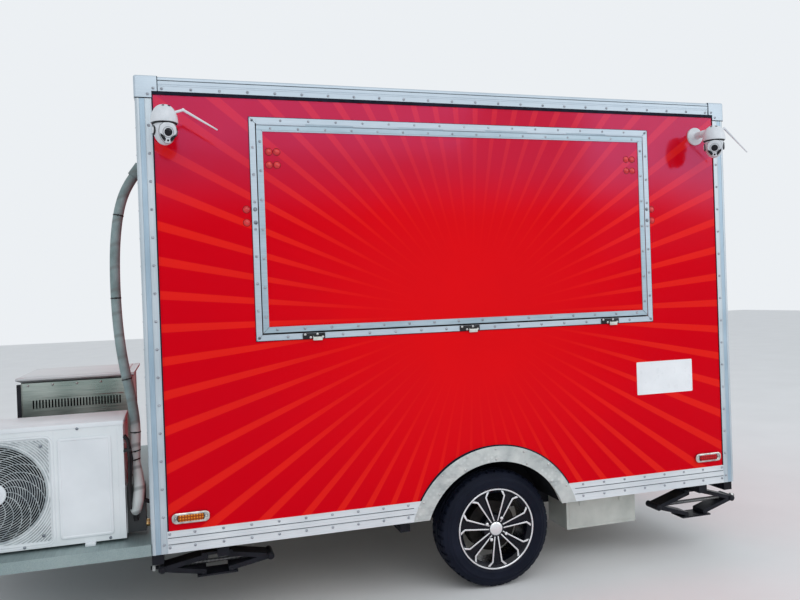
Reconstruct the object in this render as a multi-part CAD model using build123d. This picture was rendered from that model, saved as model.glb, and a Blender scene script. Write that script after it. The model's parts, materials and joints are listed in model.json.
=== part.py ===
"""Food trailer: boxed body on a single axle, serving hatch, front deck with cooling unit.

Every piece is drawn from the body's lower front corner on the serving side:
X runs rearward from the body's front face, Y inward from the serving side's outer
face and Z up from the ground. placed() then moves it so that the whole trailer is
centred on the origin and stands on Z = 0. All sizes are in millimetres.
"""
import os
from math import cos, pi, radians, sin, tan

from build123d import *

# Body box
body_length = 3100.0
body_width = 2440.0
body_bottom = 410.0
body_height = 2113.0
wall_thick = 40.0
floor_thick = 60.0
rail_thick = 4.0
rib_rise = 1.5
rib_edge = 9.0
rib_middle = (0.36, 0.64)
post_width = 70.0
top_rail_height = 72.0
bottom_rail_height = 98.0
cap_size = 95.0
cap_thick = 3.0

# Serving hatch, outer edges of its fixed trim
hatch_front = 490.0
hatch_rear = body_length - 497.0
hatch_low = body_bottom + 920.0
hatch_high = body_bottom + body_height - 166.0
trim_width = 27.0
moving_gap = 5.0
swing_gap = 8.0
hinge_radius = 4.0
hinge_pin_radius = 2.0
hinge_fit = 0.06
hinge_out = 3.0
hinge_end_play = 1.0
leaf_thick = 2.0
leaf_height = 20.0
hatch_knuckles = 9

# Gas struts of the hatch
strut_tube_radius = 9.0
strut_rod_radius = 4.0
strut_tube_length = 188.0
strut_tube_cap = 14.0
strut_rod_clearance = 0.5
strut_rod_end = 24.0
strut_inset = 26.0
strut_standoff = 34.0
wall_pin_drop = 422.0
hatch_pin_drop = 155.0
ball_pin_radius = 5.0
eye_radius = 9.0
eye_width = 9.0
bracket_plate = 4.0
bracket_half_height = 45.0
bracket_lug_half = 14.0
bracket_lug_thick = 8.0
bracket_lug_past_pin = 12.0
hatch_open_angle = 90.0

# Latches under the hatch
latch_centres = (hatch_front + 265.0, (hatch_front + hatch_rear) / 2 - 7.5, hatch_rear - 265.0)
latch_width = 106.0
latch_height = 26.0
latch_thick = 5.0
latch_tab_width = 45.0

# Entry door in the rear wall
door_width = 720.0
door_left = (body_width - door_width) / 2
door_height = 1830.0
door_knuckles = 7
handle_reach = 45.0
handle_height = 1450.0

# Wheel, arch and axle
axle_x = body_length / 2 + 126.0
tyre_radius = 301.0
tyre_width = 185.0
tyre_inset = 55.0
rim_seat_radius = 190.0
rim_lip_radius = 208.0
rim_width = 166.0
rim_face_depth = 8.0
rim_hub_depth = 60.0
petal_count = 7
ridge_width = 7.0
hub_cap_radius = 36.0
lug_circle = 60.0
lug_turns = (60.0, -30.0, -120.0, 150.0)
lug_radius = 9.0
drum_radius = 128.0
drum_depth = 62.0
spindle_radius = 17.5
spindle_fit = 0.06
arch_x = axle_x - 18.0
arch_z = 274.0
arch_inner = 387.0
arch_outer = 466.0
arch_reveal = 8.0
wheel_box_depth = 300.0
wheel_box_sheet = 3.0
torsion_arm = 150.0
torsion_tube = 64.0

# Chassis
rail_inset = 375.0
rail_web = 50.0
rail_depth = 100.0
channel_wall = 6.0
cross_size = 50.0
stub_inset = 24.0
cross_places = (0.0, 284.0, axle_x - 526.0, axle_x + 404.0, body_length - 216.0, body_length - cross_size)
tongue_reach = 1500.0
deck_reach = 960.0
deck_thick = 50.0
deck_plate = 5.0
coupler_length = 190.0
tongue_bar_end = 205.0
tongue_bar_offset = 62.0
ball_radius = 25.4

# Tongue jack
tongue_jack_x = -1090.0
jack_tube_radius = 30.0
jack_leg_radius = 25.0
jack_foot_radius = 80.0
jack_tube_low = 300.0
jack_tube_top = 880.0
jack_overlap = 260.0
jack_slack = 0.6
jack_flange_radius = 70.0
jack_flange_thick = 12.0
crank_rise = 52.0
crank_reach = 142.0
crank_radius = 8.0
grip_radius = 13.0
grip_length = 104.0

# Scissor jacks: each place is its centre, the way its screw's drive end points and its foot's height
scissor_span = 490.0
scissor_drive = 51.0
scissor_back = 14.0
scissor_inset = 150.0
scissor_width = 90.0
scissor_places = ((284.0, -1, 254.0), (body_length - 180.0, 1, 206.0))

# Box under the floor behind the wheel
box_front = axle_x + 461.0
box_rear = box_front + 430.0
box_inset = 170.0
box_bottom = 207.0

# Cooling unit on the deck
unit_rear = -106.0
unit_length = 800.0
unit_height = 542.0
unit_depth = 330.0
unit_inset = 100.0
unit_foot = 14.0
unit_sheet = 3.0
unit_lid_height = 18.0
unit_lid_lip = 2.0
service_panel = (-377.0, -157.0, 500.0, 942.0)
service_panel_rise = 2.0
service_panel_corner = 8.0
unit_foot_width = 40.0
unit_foot_past = 16.0
unit_foot_places = (130.0, 630.0)
fan_motor_radius = 52.0
fan_motor_back = 166.0
fan_x = -635.0
fan_z = 722.0
fan_opening = 208.0
fan_radius = 195.0
fan_blades = 3
fan_hub_radius = 55.0
fan_shaft_radius = 5.0
blade_chord = 150.0
blade_pitch = 28.0
blade_thick = 3.0
fan_panel_half = 230.0
fan_panel_corner = 30.0
fan_panel_depth = 6.0
grille_hub_radius = 50.0
grille_rings = 5
grille_wires = 12
wire_size = 4.0

# Steel cabinet behind the cooling unit
cabinet_rear = -110.0
cabinet_length = 530.0
cabinet_inset = 800.0
cabinet_depth = 560.0
cabinet_height = 673.0
cabinet_lid_overhang = 24.0
cabinet_slots = 29
cabinet_sheet = 3.0
slot_drop = (138.0, 95.0)
slot_margin = 50.0
slot_share = 0.5
lid_flare = 18.0
lid_edge = 6.0
lid_field_rise = 5.0
lid_field_border = 34.0

# Hose from the cooling unit to the front wall
hose_radius = 22.5
hose_inset = 200.0
hose_points = (
    (-25.0, 2109.0), (-60.0, 2060.0), (-97.0, 1950.0), (-118.0, 1790.0),
    (-123.0, 1600.0), (-117.0, 1410.0), (-99.0, 1240.0), (-70.0, 1090.0),
    (-55.0, 950.0),
)
hose_end_run = 110.0
hose_boot_radius = 29.0
hose_plate_radius = 56.0
valve_cover_height = 210.0
valve_cover_width = 86.0
valve_cover_depth = 82.0

# Lamps
marker_length = 164.0
marker_height = 54.0
marker_depth = 20.0
marker_border = (15.0, 11.0)
marker_seat = 8.0
front_marker_x = 172.0
rear_marker_x = body_length - 175.0
marker_z = 563.0
tail_lamp_inset = 230.0
tail_lamp_z = 640.0
tail_lamp_radius = 52.0
tail_lamp_rise = 18.0

# Security cameras
camera_disc_radius = 48.0
camera_arm_radius = 19.0
camera_shell_radius = 57.0
camera_standoff = 150.0
camera_shell_rise = 76.0
camera_head_radius = 48.0
camera_cheek_thick = 8.0
camera_cheek_width = 44.0
camera_lens_radius = 17.0
front_camera_x = 123.0
rear_camera_x = body_length - 189.0
camera_rim_z = body_bottom + body_height - 239.0
camera_arm_z = camera_rim_z + 50.0
antenna_radius = 6.0

# Roof vent
vent_radius = 180.0
vent_base = 12.0
vent_neck_height = 90.0
vent_brim = (77.0, 91.0)
vent_crown_top = 130.0

# Worked out from the sizes above
body_top = body_bottom + body_height
rear_end = scissor_places[1][0] + scissor_span / 2 + scissor_drive
overall_length = tongue_reach + rear_end
serving_reach = camera_standoff + camera_shell_radius
far_reach = marker_depth - rail_thick
overall_width = serving_reach + body_width + far_reach
body_front_x = tongue_reach - overall_length / 2
serving_face_y = serving_reach - overall_width / 2
skin_rear = body_length - rail_thick
skin_far = body_width - rail_thick
inner = rail_thick + wall_thick
floor_top = body_bottom + floor_thick
roof_low = body_top - rail_thick - wall_thick
frame_low = body_bottom - rail_depth
deck_top = body_bottom + deck_thick
hinge_z = hatch_high - trim_width - moving_gap
hinge_y = -hinge_out
door_right = door_left + door_width
door_sill = floor_top
door_head = door_sill + door_height
wheel_mid_y = tyre_inset + tyre_width / 2
wheel_face_y = wheel_mid_y - rim_width / 2
drum_y = wheel_face_y + rim_face_depth + rim_hub_depth


def placed(shape):
    return Pos(body_front_x, serving_face_y, 0) * shape


def block(x0, x1, y0, y1, z0, z1):
    return Pos((x0 + x1) / 2, (y0 + y1) / 2, (z0 + z1) / 2) * Box(x1 - x0, y1 - y0, z1 - z0)


def rod(start, end, radius):
    """Round bar between two points."""
    start, end = Vector(*start), Vector(*end)
    return extrude(Plane(start, z_dir=end - start) * Circle(radius), (end - start).length)


def across(shape):
    """The same piece on the far side of the body."""
    return mirror(shape, Plane((0, body_width / 2, 0), z_dir=(0, 1, 0)))


def save(shape, name):
    export_step(placed(shape), f"parts/{name}.step")


def mitred_frame(width, height, strip, depth):
    """Four mitred strips round a rectangle that starts at the XY origin, bottom, top, left, right."""
    corners = ((0, 0), (width, 0), (width, height), (0, height))
    inside = ((strip, strip), (width - strip, strip), (width - strip, height - strip), (strip, height - strip))
    bars = []
    for first, second in ((0, 1), (2, 3), (3, 0), (1, 2)):
        outline = Polyline(corners[first], corners[second], inside[second], inside[first], close=True)
        bars.append(extrude(make_face(outline), depth))
    return bars


def ring_xz(x0, x1, z0, z1, width, y0, y1):
    """Mitred frame standing in the side wall's plane."""
    stand = Plane((x0, y1, z0), x_dir=(1, 0, 0), z_dir=(0, -1, 0)).location
    return [stand * bar for bar in mitred_frame(x1 - x0, z1 - z0, width, y1 - y0)]


def ring_yz(y0, y1, z0, z1, width, x0, x1):
    """Mitred frame standing in the rear wall's plane."""
    stand = Plane((x0, y0, z0), x_dir=(0, 1, 0), z_dir=(1, 0, 0)).location
    return [stand * bar for bar in mitred_frame(y1 - y0, z1 - z0, width, x1 - x0)]


def arch_cylinder(radius, y0, y1):
    return rod((arch_x, y0, arch_z), (arch_x, y1, arch_z), radius)


# Walls, floor and roof

def serving_wall():
    wall = block(rail_thick, skin_rear, rail_thick, inner, body_bottom, roof_low)
    wall -= block(hatch_front + trim_width, hatch_rear - trim_width, 0, inner + 1,
                  hatch_low + trim_width, hatch_high - trim_width)
    return wall - arch_cylinder(arch_inner + arch_reveal, 0, inner + 1)


def far_wall():
    wall = block(rail_thick, skin_rear, rail_thick, inner, body_bottom, roof_low)
    return across(wall - arch_cylinder(arch_inner + arch_reveal, 0, inner + 1))


def front_wall():
    return block(rail_thick, inner, inner, body_width - inner, body_bottom, roof_low)


def rear_wall():
    wall = block(body_length - inner, skin_rear, inner, body_width - inner, body_bottom, roof_low)
    return wall - block(body_length - inner - 1, body_length, door_left, door_right, door_sill, door_head)


def floor():
    slab = block(inner, body_length - inner, inner, body_width - inner, body_bottom, floor_top)
    cut = arch_cylinder(arch_inner + arch_reveal + wheel_box_sheet, 0, wheel_box_depth + wheel_box_sheet)
    return slab - cut - across(cut)


def roof():
    return block(rail_thick, skin_rear, rail_thick, skin_far, roof_low, body_top - rail_thick)


def wheel_box():
    outside = arch_inner + arch_reveal + wheel_box_sheet
    shell = arch_cylinder(outside, inner, wheel_box_depth + wheel_box_sheet)
    shell -= arch_cylinder(outside - wheel_box_sheet, inner - 1, wheel_box_depth)
    return shell - block(arch_x - 500, arch_x + 500, 0, 400, -200, body_bottom)


# Ribbed edge extrusions. Each table row is (start, end) of a raised rib across the width.

def rib_rows(width):
    return ((0.0, rib_edge), (width * rib_middle[0], width * rib_middle[1]), (width - rib_edge, width))


def corner_post():
    """L-shaped post at the front corner of the serving side."""
    low, high = body_bottom, body_top - rail_thick
    thin = rib_rise
    post = block(thin, post_width, thin, rail_thick, low, high)
    post += block(thin, rail_thick, thin, post_width, low, high)
    for start, end in rib_rows(post_width):
        first = max(start, thin)
        post += block(first if start else 0, end, 0, thin, low, high)
        post += block(0, thin, first if start else 0, end, low, high)
    return post


def side_top_rail():
    """L-shaped rail along the top edge of the serving side, between the posts."""
    x0, x1 = post_width, body_length - post_width
    rail = block(x0, x1, rib_rise, rail_thick, body_top - top_rail_height, body_top)
    rail += block(x0, x1, rib_rise, top_rail_height, body_top - rail_thick, body_top)
    for start, end in rib_rows(top_rail_height):
        rail += block(x0, x1, 0, rib_rise, body_top - end, body_top - start)
    return rail


def front_top_rail():
    y0, y1 = post_width, body_width - post_width
    rail = block(rib_rise, rail_thick, y0, y1, body_top - top_rail_height, body_top)
    rail += block(rib_rise, top_rail_height, y0, y1, body_top - rail_thick, body_top)
    for start, end in rib_rows(top_rail_height):
        rail += block(0, rib_rise, y0, y1, body_top - end, body_top - start)
    return rail


def bottom_rail_along(x0, x1):
    rail = block(x0, x1, rib_rise, rail_thick, body_bottom, body_bottom + bottom_rail_height)
    for start, end in rib_rows(bottom_rail_height):
        rail += block(x0, x1, 0, rib_rise, body_bottom + start, body_bottom + end)
    return rail


def side_bottom_rails():
    rail = bottom_rail_along(post_width, body_length - post_width)
    return rail - arch_cylinder(arch_outer, -1, rail_thick + 1)


def front_bottom_rail():
    y0, y1 = post_width, body_width - post_width
    rail = block(rib_rise, rail_thick, y0, y1, body_bottom, body_bottom + bottom_rail_height)
    for start, end in rib_rows(bottom_rail_height):
        rail += block(0, rib_rise, y0, y1, body_bottom + start, body_bottom + end)
    return rail


def corner_cap():
    """Three-sided cap over the top front corner of the serving side."""
    low = body_top - cap_size
    cap = block(-cap_thick, cap_size, -cap_thick, 0, low, body_top + cap_thick)
    cap += block(-cap_thick, 0, -cap_thick, cap_size, low, body_top + cap_thick)
    cap += block(-cap_thick, cap_size, -cap_thick, cap_size, body_top, body_top + cap_thick)
    return cap


def all_corners(piece):
    """One piece at each of the body's four corners."""
    front_back = Plane((body_length / 2, 0, 0), z_dir=(1, 0, 0))
    rear = mirror(piece, front_back)
    return [piece, across(piece), rear, across(rear)]


def rear_bottom_rail():
    rail = at_rear(front_bottom_rail())
    return rail - block(body_length - 10, body_length + 1, door_left - trim_width, door_right + trim_width,
                        door_sill - trim_width, door_head)


def at_rear(piece):
    return mirror(piece, Plane((body_length / 2, 0, 0), z_dir=(1, 0, 0)))


def arch_trim():
    trim = arch_cylinder(arch_outer, 0, rail_thick) - arch_cylinder(arch_inner, -1, rail_thick + 1)
    return trim - block(arch_x - 600, arch_x + 600, -10, 10, -300, body_bottom)


# Hinge made of knuckles on one pin, drawn along X from 0 with its axis on the X axis.

def knuckle_spans(length, count, first):
    pitch = length / count
    return [(i * pitch + hinge_end_play / 2, (i + 1) * pitch - hinge_end_play / 2)
            for i in range(first, count, 2)]


def fixed_hinge_half(length, count):
    """Leaf above the axis, every second knuckle and the pin."""
    half = block(0, length, hinge_out - leaf_thick, hinge_out, moving_gap, moving_gap + leaf_height)
    for start, end in knuckle_spans(length, count, 0):
        half += rod((start, 0, 0), (end, 0, 0), hinge_radius)
        half += block(start, end, hinge_out - leaf_thick, hinge_out, 0, moving_gap)
    return half + rod((0, 0, 0), (length, 0, 0), hinge_pin_radius)


def moving_hinge_half(length, count):
    """Leaf below the axis and the knuckles between the fixed ones."""
    half = block(0, length, hinge_out - leaf_thick, hinge_out, -moving_gap - leaf_height, -moving_gap)
    for start, end in knuckle_spans(length, count, 1):
        half += rod((start, 0, 0), (end, 0, 0), hinge_radius)
        half += block(start, end, hinge_out - leaf_thick, hinge_out, -moving_gap, 0)
    return half - rod((-1, 0, 0), (length + 1, 0, 0), hinge_pin_radius + hinge_fit)


# Serving hatch

hatch_length = hatch_rear - hatch_front - 2 * trim_width - 2 * moving_gap
hatch_x0 = hatch_front + trim_width + moving_gap
hatch_x1 = hatch_x0 + hatch_length
hatch_z0 = hatch_low + trim_width + swing_gap
hatch_z1 = hinge_z - moving_gap


def hatch_frame_trim():
    bottom, top, front, rear = ring_xz(hatch_front, hatch_rear, hatch_low, hatch_high, trim_width, 0, rail_thick)
    hinge = Pos(hatch_x0, hinge_y, hinge_z) * fixed_hinge_half(hatch_length, hatch_knuckles)
    return [bottom, top + hinge, front, rear]


def hatch_panel():
    return block(hatch_x0, hatch_x1, rail_thick, inner, hatch_z0, hatch_z1)


def hatch_edge_trim():
    bottom, top, front, rear = ring_xz(hatch_x0, hatch_x1, hatch_z0, hatch_z1, trim_width, 0, rail_thick)
    hinge = Pos(hatch_x0, hinge_y, hinge_z) * moving_hinge_half(hatch_length, hatch_knuckles)
    return [bottom, top + hinge, front, rear]


def hatch_latch(x):
    """Plate on the fixed trim with the draw tab that hangs below it, off centre."""
    low = hatch_low
    tab_start, tab_out, tab_drop, tab_rise = x - 5, 4, 9, 8
    plate = block(x - latch_width / 2, x + latch_width / 2, -latch_thick, 0, low, low + latch_height)
    tab = block(tab_start, tab_start + latch_tab_width, -latch_thick - tab_out, -latch_thick,
                low - tab_drop, low + tab_rise)
    return plate + tab


# Gas struts. The tube hangs from the hatch and the rod ends at the pin beside the opening.

pin_y = inner + strut_standoff
wall_pin_z = hinge_z - wall_pin_drop
hatch_pin_z = hinge_z - hatch_pin_drop
strut_closed = wall_pin_drop - hatch_pin_drop
strut_planes = (hatch_front + trim_width + strut_inset, hatch_rear - trim_width - strut_inset)


def bracket_lug(x, z):
    """Ear that stands off a bracket's plate and holds its pin."""
    return block(x, x + bracket_lug_thick, inner, pin_y + bracket_lug_past_pin,
                 z - bracket_lug_half, z + bracket_lug_half)


def strut_wall_bracket():
    """Plate inside the wall with a pin that points into the opening."""
    plate_width, edge_margin = 60, 2
    edge = hatch_front + trim_width - edge_margin
    plate = block(edge - plate_width, edge, inner, inner + bracket_plate,
                  wall_pin_z - bracket_half_height, wall_pin_z + bracket_half_height)
    pin_end = strut_planes[0] - eye_width / 2 - 1
    pin = rod((edge - 2, pin_y, wall_pin_z), (pin_end, pin_y, wall_pin_z), ball_pin_radius)
    return plate + bracket_lug(edge - bracket_lug_thick, wall_pin_z) + pin


def strut_hatch_bracket():
    """Plate inside the hatch with a pin through the strut's upper eye."""
    plate_width, beside_strut = 64, 16
    x = strut_planes[0]
    start = x + beside_strut
    plate = block(start, start + plate_width, inner, inner + bracket_plate,
                  hatch_pin_z - bracket_half_height, hatch_pin_z + bracket_half_height)
    pin = rod((start + 4, pin_y, hatch_pin_z), (x - eye_width / 2 - 2, pin_y, hatch_pin_z), ball_pin_radius)
    return plate + bracket_lug(start, hatch_pin_z) + pin


def strut_tube():
    x = strut_planes[0]
    top = hatch_pin_z - eye_radius + 1
    tube = rod((x, pin_y, top), (x, pin_y, top - strut_tube_length), strut_tube_radius)
    tube -= rod((x, pin_y, top - strut_tube_cap), (x, pin_y, top - strut_tube_length - 1),
                strut_rod_radius + strut_rod_clearance)
    eye = rod((x - eye_width / 2, pin_y, hatch_pin_z), (x + eye_width / 2, pin_y, hatch_pin_z), eye_radius)
    bore = rod((x - eye_width, pin_y, hatch_pin_z), (x + eye_width, pin_y, hatch_pin_z),
               ball_pin_radius + hinge_fit)
    return (tube + eye) - bore


def strut_rod():
    x = strut_planes[0]
    high = hatch_pin_z - eye_radius - strut_rod_end
    bar = rod((x, pin_y, high), (x, pin_y, wall_pin_z), strut_rod_radius)
    eye = rod((x - eye_width / 2, pin_y, wall_pin_z), (x + eye_width / 2, pin_y, wall_pin_z), eye_radius)
    return bar + eye


def at_rear_of_hatch(piece):
    middle = (hatch_front + hatch_rear) / 2
    return mirror(piece, Plane((middle, 0, 0), z_dir=(1, 0, 0)))


# Entry door. Its hinge half is stood upright, leaf against the rear wall, fixed side to the far side.

door_y0 = door_left + swing_gap
door_y1 = door_right - moving_gap * 2
door_hinge_y = door_right - moving_gap
door_z0 = door_sill + moving_gap
door_z1 = door_head - moving_gap


def door_hinge(half_of):
    length = door_z1 - door_z0
    half = half_of(length, door_knuckles)
    frame = Plane(origin=(body_length + hinge_out, door_hinge_y, door_z1),
                  x_dir=(0, 0, -1), z_dir=(0, 1, 0))
    return frame.location * half


def door_frame_trim():
    bottom, top, left, right = ring_yz(door_left - trim_width, door_right + trim_width, door_sill - trim_width,
                                       door_head + trim_width, trim_width, skin_rear, body_length)
    return [bottom, top, left, right + door_hinge(fixed_hinge_half)]


def door_panel():
    return block(body_length - inner, skin_rear, door_y0, door_y1, door_z0, door_z1)


def door_edge_trim():
    bottom, top, left, right = ring_yz(door_y0, door_y1, door_z0, door_z1, trim_width, skin_rear, body_length)
    return [bottom, top, left, right + door_hinge(moving_hinge_half)]


def door_handle():
    """Back plate, neck and lever that points into the door."""
    plate_half, plate_thick, neck_radius = (30, 80), 6, 11
    lever_thick, lever_back, lever_length = 16, 14, 110
    y = door_y0 + 70
    face = skin_rear
    tip = body_length + handle_reach
    plate = block(face, face + plate_thick, y - plate_half[0], y + plate_half[0],
                  handle_height - plate_half[1], handle_height + plate_half[1])
    neck = rod((face, y, handle_height), (tip - lever_thick + 4, y, handle_height), neck_radius)
    lever = block(tip - lever_thick, tip, y - lever_back, y + lever_length,
                  handle_height - neck_radius, handle_height + neck_radius)
    return plate + neck + lever


# Chassis

def channel_x(x0, x1, y0, y1, z0, z1, open_side):
    """Channel along X whose open side faces +Y (1) or -Y (-1)."""
    bar = block(x0, x1, y0, y1, z0, z1)
    if open_side > 0:
        return bar - block(x0 - 1, x1 + 1, y0 + channel_wall, y1 + 1, z0 + channel_wall, z1 - channel_wall)
    return bar - block(x0 - 1, x1 + 1, y0 - 1, y1 - channel_wall, z0 + channel_wall, z1 - channel_wall)


def main_rail():
    return channel_x(0, body_length, rail_inset, rail_inset + rail_web, frame_low, body_bottom, 1)


def crossmembers():
    """Bars between the rails, and stubs out to the body's edges where no wheel is."""
    pieces = []
    low = body_bottom - cross_size
    inside = rail_inset + rail_web
    for x in cross_places:
        pieces.append(block(x, x + cross_size, inside, body_width - inside, low, body_bottom))
        if abs(x + cross_size / 2 - arch_x) > arch_outer:
            stub = block(x, x + cross_size, stub_inset, rail_inset, low, body_bottom)
            pieces += [stub, across(stub)]
    return pieces


def tongue_bar_ends():
    """Centre line of the serving-side tongue bar, from its main rail to the coupler."""
    start = Vector(0, rail_inset + rail_web / 2, frame_low + rail_depth / 2)
    return start, Vector(-tongue_reach + tongue_bar_end, body_width / 2 - tongue_bar_offset, start.Z)


def tongue_bar():
    """Channel from the end of a main rail to the coupler, cut square to the body at its rear."""
    start, end = tongue_bar_ends()
    run = end - start
    section = Rectangle(rail_web, rail_depth) - Pos(channel_wall, 0) * Rectangle(
        rail_web, rail_depth - 2 * channel_wall)
    back = start - run.normalized() * rail_web
    bar = extrude(Plane(back, x_dir=(run.Y, -run.X, 0), z_dir=run) * section, run.length + rail_web)
    return bar - block(0, rail_web * 4, 0, body_width, frame_low - 10, body_bottom + 10)


def front_deck():
    """Tray of sheet over three open bays."""
    x0, x1 = -deck_reach, 0
    tray = block(x0, x1, 0, body_width, body_bottom, deck_top)
    depth = deck_thick - deck_plate
    bays = 3
    pitch = (body_width - deck_plate) / bays
    for i in range(bays):
        y = deck_plate + i * pitch
        tray -= block(x0 + deck_plate, x1 - deck_plate, y, y + pitch - deck_plate,
                      body_bottom - 1, body_bottom + depth)
    return tray


def coupler():
    """Ball coupler on the tongue's nose, and the gusset plate over the ends of both bars."""
    head_radius, head_height, half_width = 45, 64, 32
    below, above = 28, 32
    plate_front, plate_rear, plate_half, plate_thick, plate_margin = 120, 470, 45, 8, 12
    socket_slack, socket_drop = 0.6, 6
    nose, y = -tongue_reach, body_width / 2
    mid = frame_low + rail_depth / 2
    ball_x = nose + head_radius
    head = Pos(ball_x, y, mid) * Cylinder(head_radius, head_height)
    body = block(ball_x, nose + coupler_length, y - half_width, y + half_width, mid - below, mid + above)
    riser = block(nose + plate_front, nose + coupler_length, y - half_width, y + half_width, mid + above, body_bottom)
    start, end = tongue_bar_ends()
    rear_x = nose + plate_rear
    along = (rear_x - start.X) / (end.X - start.X)
    rear_half = y - (start.Y + (end.Y - start.Y) * along) - plate_margin
    plate = extrude(Plane((0, 0, body_bottom)) * make_face(Polyline(
        (nose + plate_front, y - plate_half), (nose + plate_front, y + plate_half),
        (rear_x, y + rear_half), (rear_x, y - rear_half), close=True)), plate_thick)
    bore = ball_radius + socket_slack
    socket = Pos(ball_x, y, mid - socket_drop) * Sphere(bore)
    socket += Pos(ball_x, y, mid - socket_drop - 20) * Cylinder(bore, 42)
    hole = Pos(tongue_jack_x, y, body_bottom) * Cylinder(jack_tube_radius + 0.5, 60)
    return head + body + plate + riser - socket - hole


def tongue_jack_tube():
    """Tube in the coupler's plate with a flange, a gear head and a crank."""
    x, y = tongue_jack_x, body_width / 2
    bore = jack_leg_radius + jack_slack
    seat = body_bottom + 8
    tube = rod((x, y, jack_tube_low), (x, y, jack_tube_top), jack_tube_radius)
    tube -= rod((x, y, jack_tube_low - 1), (x, y, jack_tube_top - 60), bore)
    flange = rod((x, y, seat), (x, y, seat + jack_flange_thick), jack_flange_radius)
    flange -= rod((x, y, seat - 1), (x, y, seat + jack_flange_thick + 1), bore)
    head = Pos(x, y, jack_tube_top + 12) * Cylinder(jack_tube_radius + 5, 30)
    arm_z = jack_tube_top + crank_rise
    crank = rod((x, y, jack_tube_top), (x, y, arm_z + crank_radius + 3), crank_radius + 2)
    crank += rod((x, y, arm_z), (x, y + crank_reach, arm_z), crank_radius)
    grip = rod((x, y + crank_reach, arm_z - 6), (x, y + crank_reach, arm_z - 6 + grip_length), grip_radius)
    return tube + flange + head + crank + grip


def tongue_jack_leg():
    x, y = tongue_jack_x, body_width / 2
    foot_thick = 10
    leg = rod((x, y, foot_thick / 2), (x, y, jack_tube_low + jack_overlap), jack_leg_radius)
    return leg + rod((x, y, 0), (x, y, foot_thick), jack_foot_radius)


def scissor_jack(x, outward, base):
    """Nearly folded diamond under a stub, with its screw along the body."""
    head_half, head_thick, base_half, base_thick, base_margin = 70, 12, 92, 8, 8
    arm, arm_top, arm_base, knee_radius, knee_past, screw_radius = 22, (40, 16), (50, 18), 17, 6, 9
    y, half, side_half = scissor_inset, scissor_span / 2, scissor_width / 2
    top = body_bottom - cross_size
    mid = (top + base) / 2
    piece = block(x - head_half, x + head_half, y - side_half, y + side_half, top - head_thick, top)
    piece += block(x - base_half, x + base_half, y - side_half - base_margin, y + side_half + base_margin,
                   base, base + base_thick)
    side_plane = Plane((0, y + side_half, 0), x_dir=(1, 0, 0), z_dir=(0, -1, 0))
    for side in (-1, 1):
        knee = x + side * half
        for x_end, z_end in ((x + side * arm_top[0], top - arm_top[1]), (x + side * arm_base[0], base + arm_base[1])):
            line = Polyline((x_end, z_end - arm / 2), (x_end, z_end + arm / 2),
                            (knee, mid + arm / 2), (knee, mid - arm / 2), close=True)
            piece += extrude(side_plane * make_face(line), scissor_width)
        piece += rod((knee, y - side_half - knee_past, mid), (knee, y + side_half + knee_past, mid), knee_radius)
    screw_back, screw_front = x - outward * (half + scissor_back), x + outward * (half + scissor_drive)
    return piece + rod((screw_back, y, mid), (screw_front, y, mid), screw_radius)


def axle():
    """Torsion beam under the rails, with a trailing arm, brake plate and spindle each side."""
    boss_radius, arm_half, plate_past_drum, plate_thick, spindle_start = 34, 14, 4, 5, 60
    x = axle_x - torsion_arm
    z = frame_low - torsion_tube / 2
    half = torsion_tube / 2
    arm_y = wheel_box_depth - 20
    beam = block(x - half, x + half, arm_y + arm_half, body_width - arm_y - arm_half, z - half, z + half)
    side = rod((x, arm_y - arm_half, z), (x, arm_y + arm_half, z), boss_radius)
    side += rod((axle_x, arm_y - arm_half, tyre_radius), (axle_x, arm_y + arm_half, tyre_radius), boss_radius)
    arm_line = Polyline((x, z - 30), (x, z + 30), (axle_x, tyre_radius + 30), (axle_x, tyre_radius - 30),
                        close=True)
    side += extrude(Plane((0, arm_y + arm_half, 0), x_dir=(1, 0, 0), z_dir=(0, -1, 0)) * make_face(arm_line),
                    2 * arm_half)
    plate_y = drum_y + drum_depth + moving_gap
    side += rod((axle_x, plate_y, tyre_radius), (axle_x, plate_y + plate_thick, tyre_radius),
                drum_radius + plate_past_drum)
    side += rod((axle_x, tyre_inset + spindle_start, tyre_radius), (axle_x, arm_y, tyre_radius), spindle_radius)
    return beam + side + across(side)


# Wheel, drawn about the axle line on the serving side


def about_axle(profile_points):
    """Ring turned about the axle from (radius, y) points."""
    face = make_face(Polyline(*[(r, y) for r, y in profile_points], close=True))
    plane = Plane((axle_x, wheel_mid_y, tyre_radius), x_dir=(1, 0, 0), z_dir=(0, 0, 1))
    return revolve(plane * face, Axis((axle_x, 0, tyre_radius), (0, 1, 0)), 360)


def tyre():
    half = tyre_width / 2
    tread = tyre_radius
    # Each row is (radius, distance from the tyre's middle).
    right = ((rim_seat_radius, 62.0), (rim_seat_radius + 50, half), (tread - 15, half - 8), (tread, half - 30))
    left = tuple((r, -y) for r, y in reversed(right))
    return about_axle(right + left)


def petal():
    """Outline of one opening between the spokes, pointing up from the hub."""
    lip = rim_lip_radius
    return make_face(Polyline((0.05 * lip, 0.20 * lip), (0.25 * lip, 0.79 * lip), (0.17 * lip, 0.93 * lip),
                              (-0.17 * lip, 0.93 * lip), (-0.25 * lip, 0.79 * lip), (-0.05 * lip, 0.20 * lip),
                              close=True))


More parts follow.
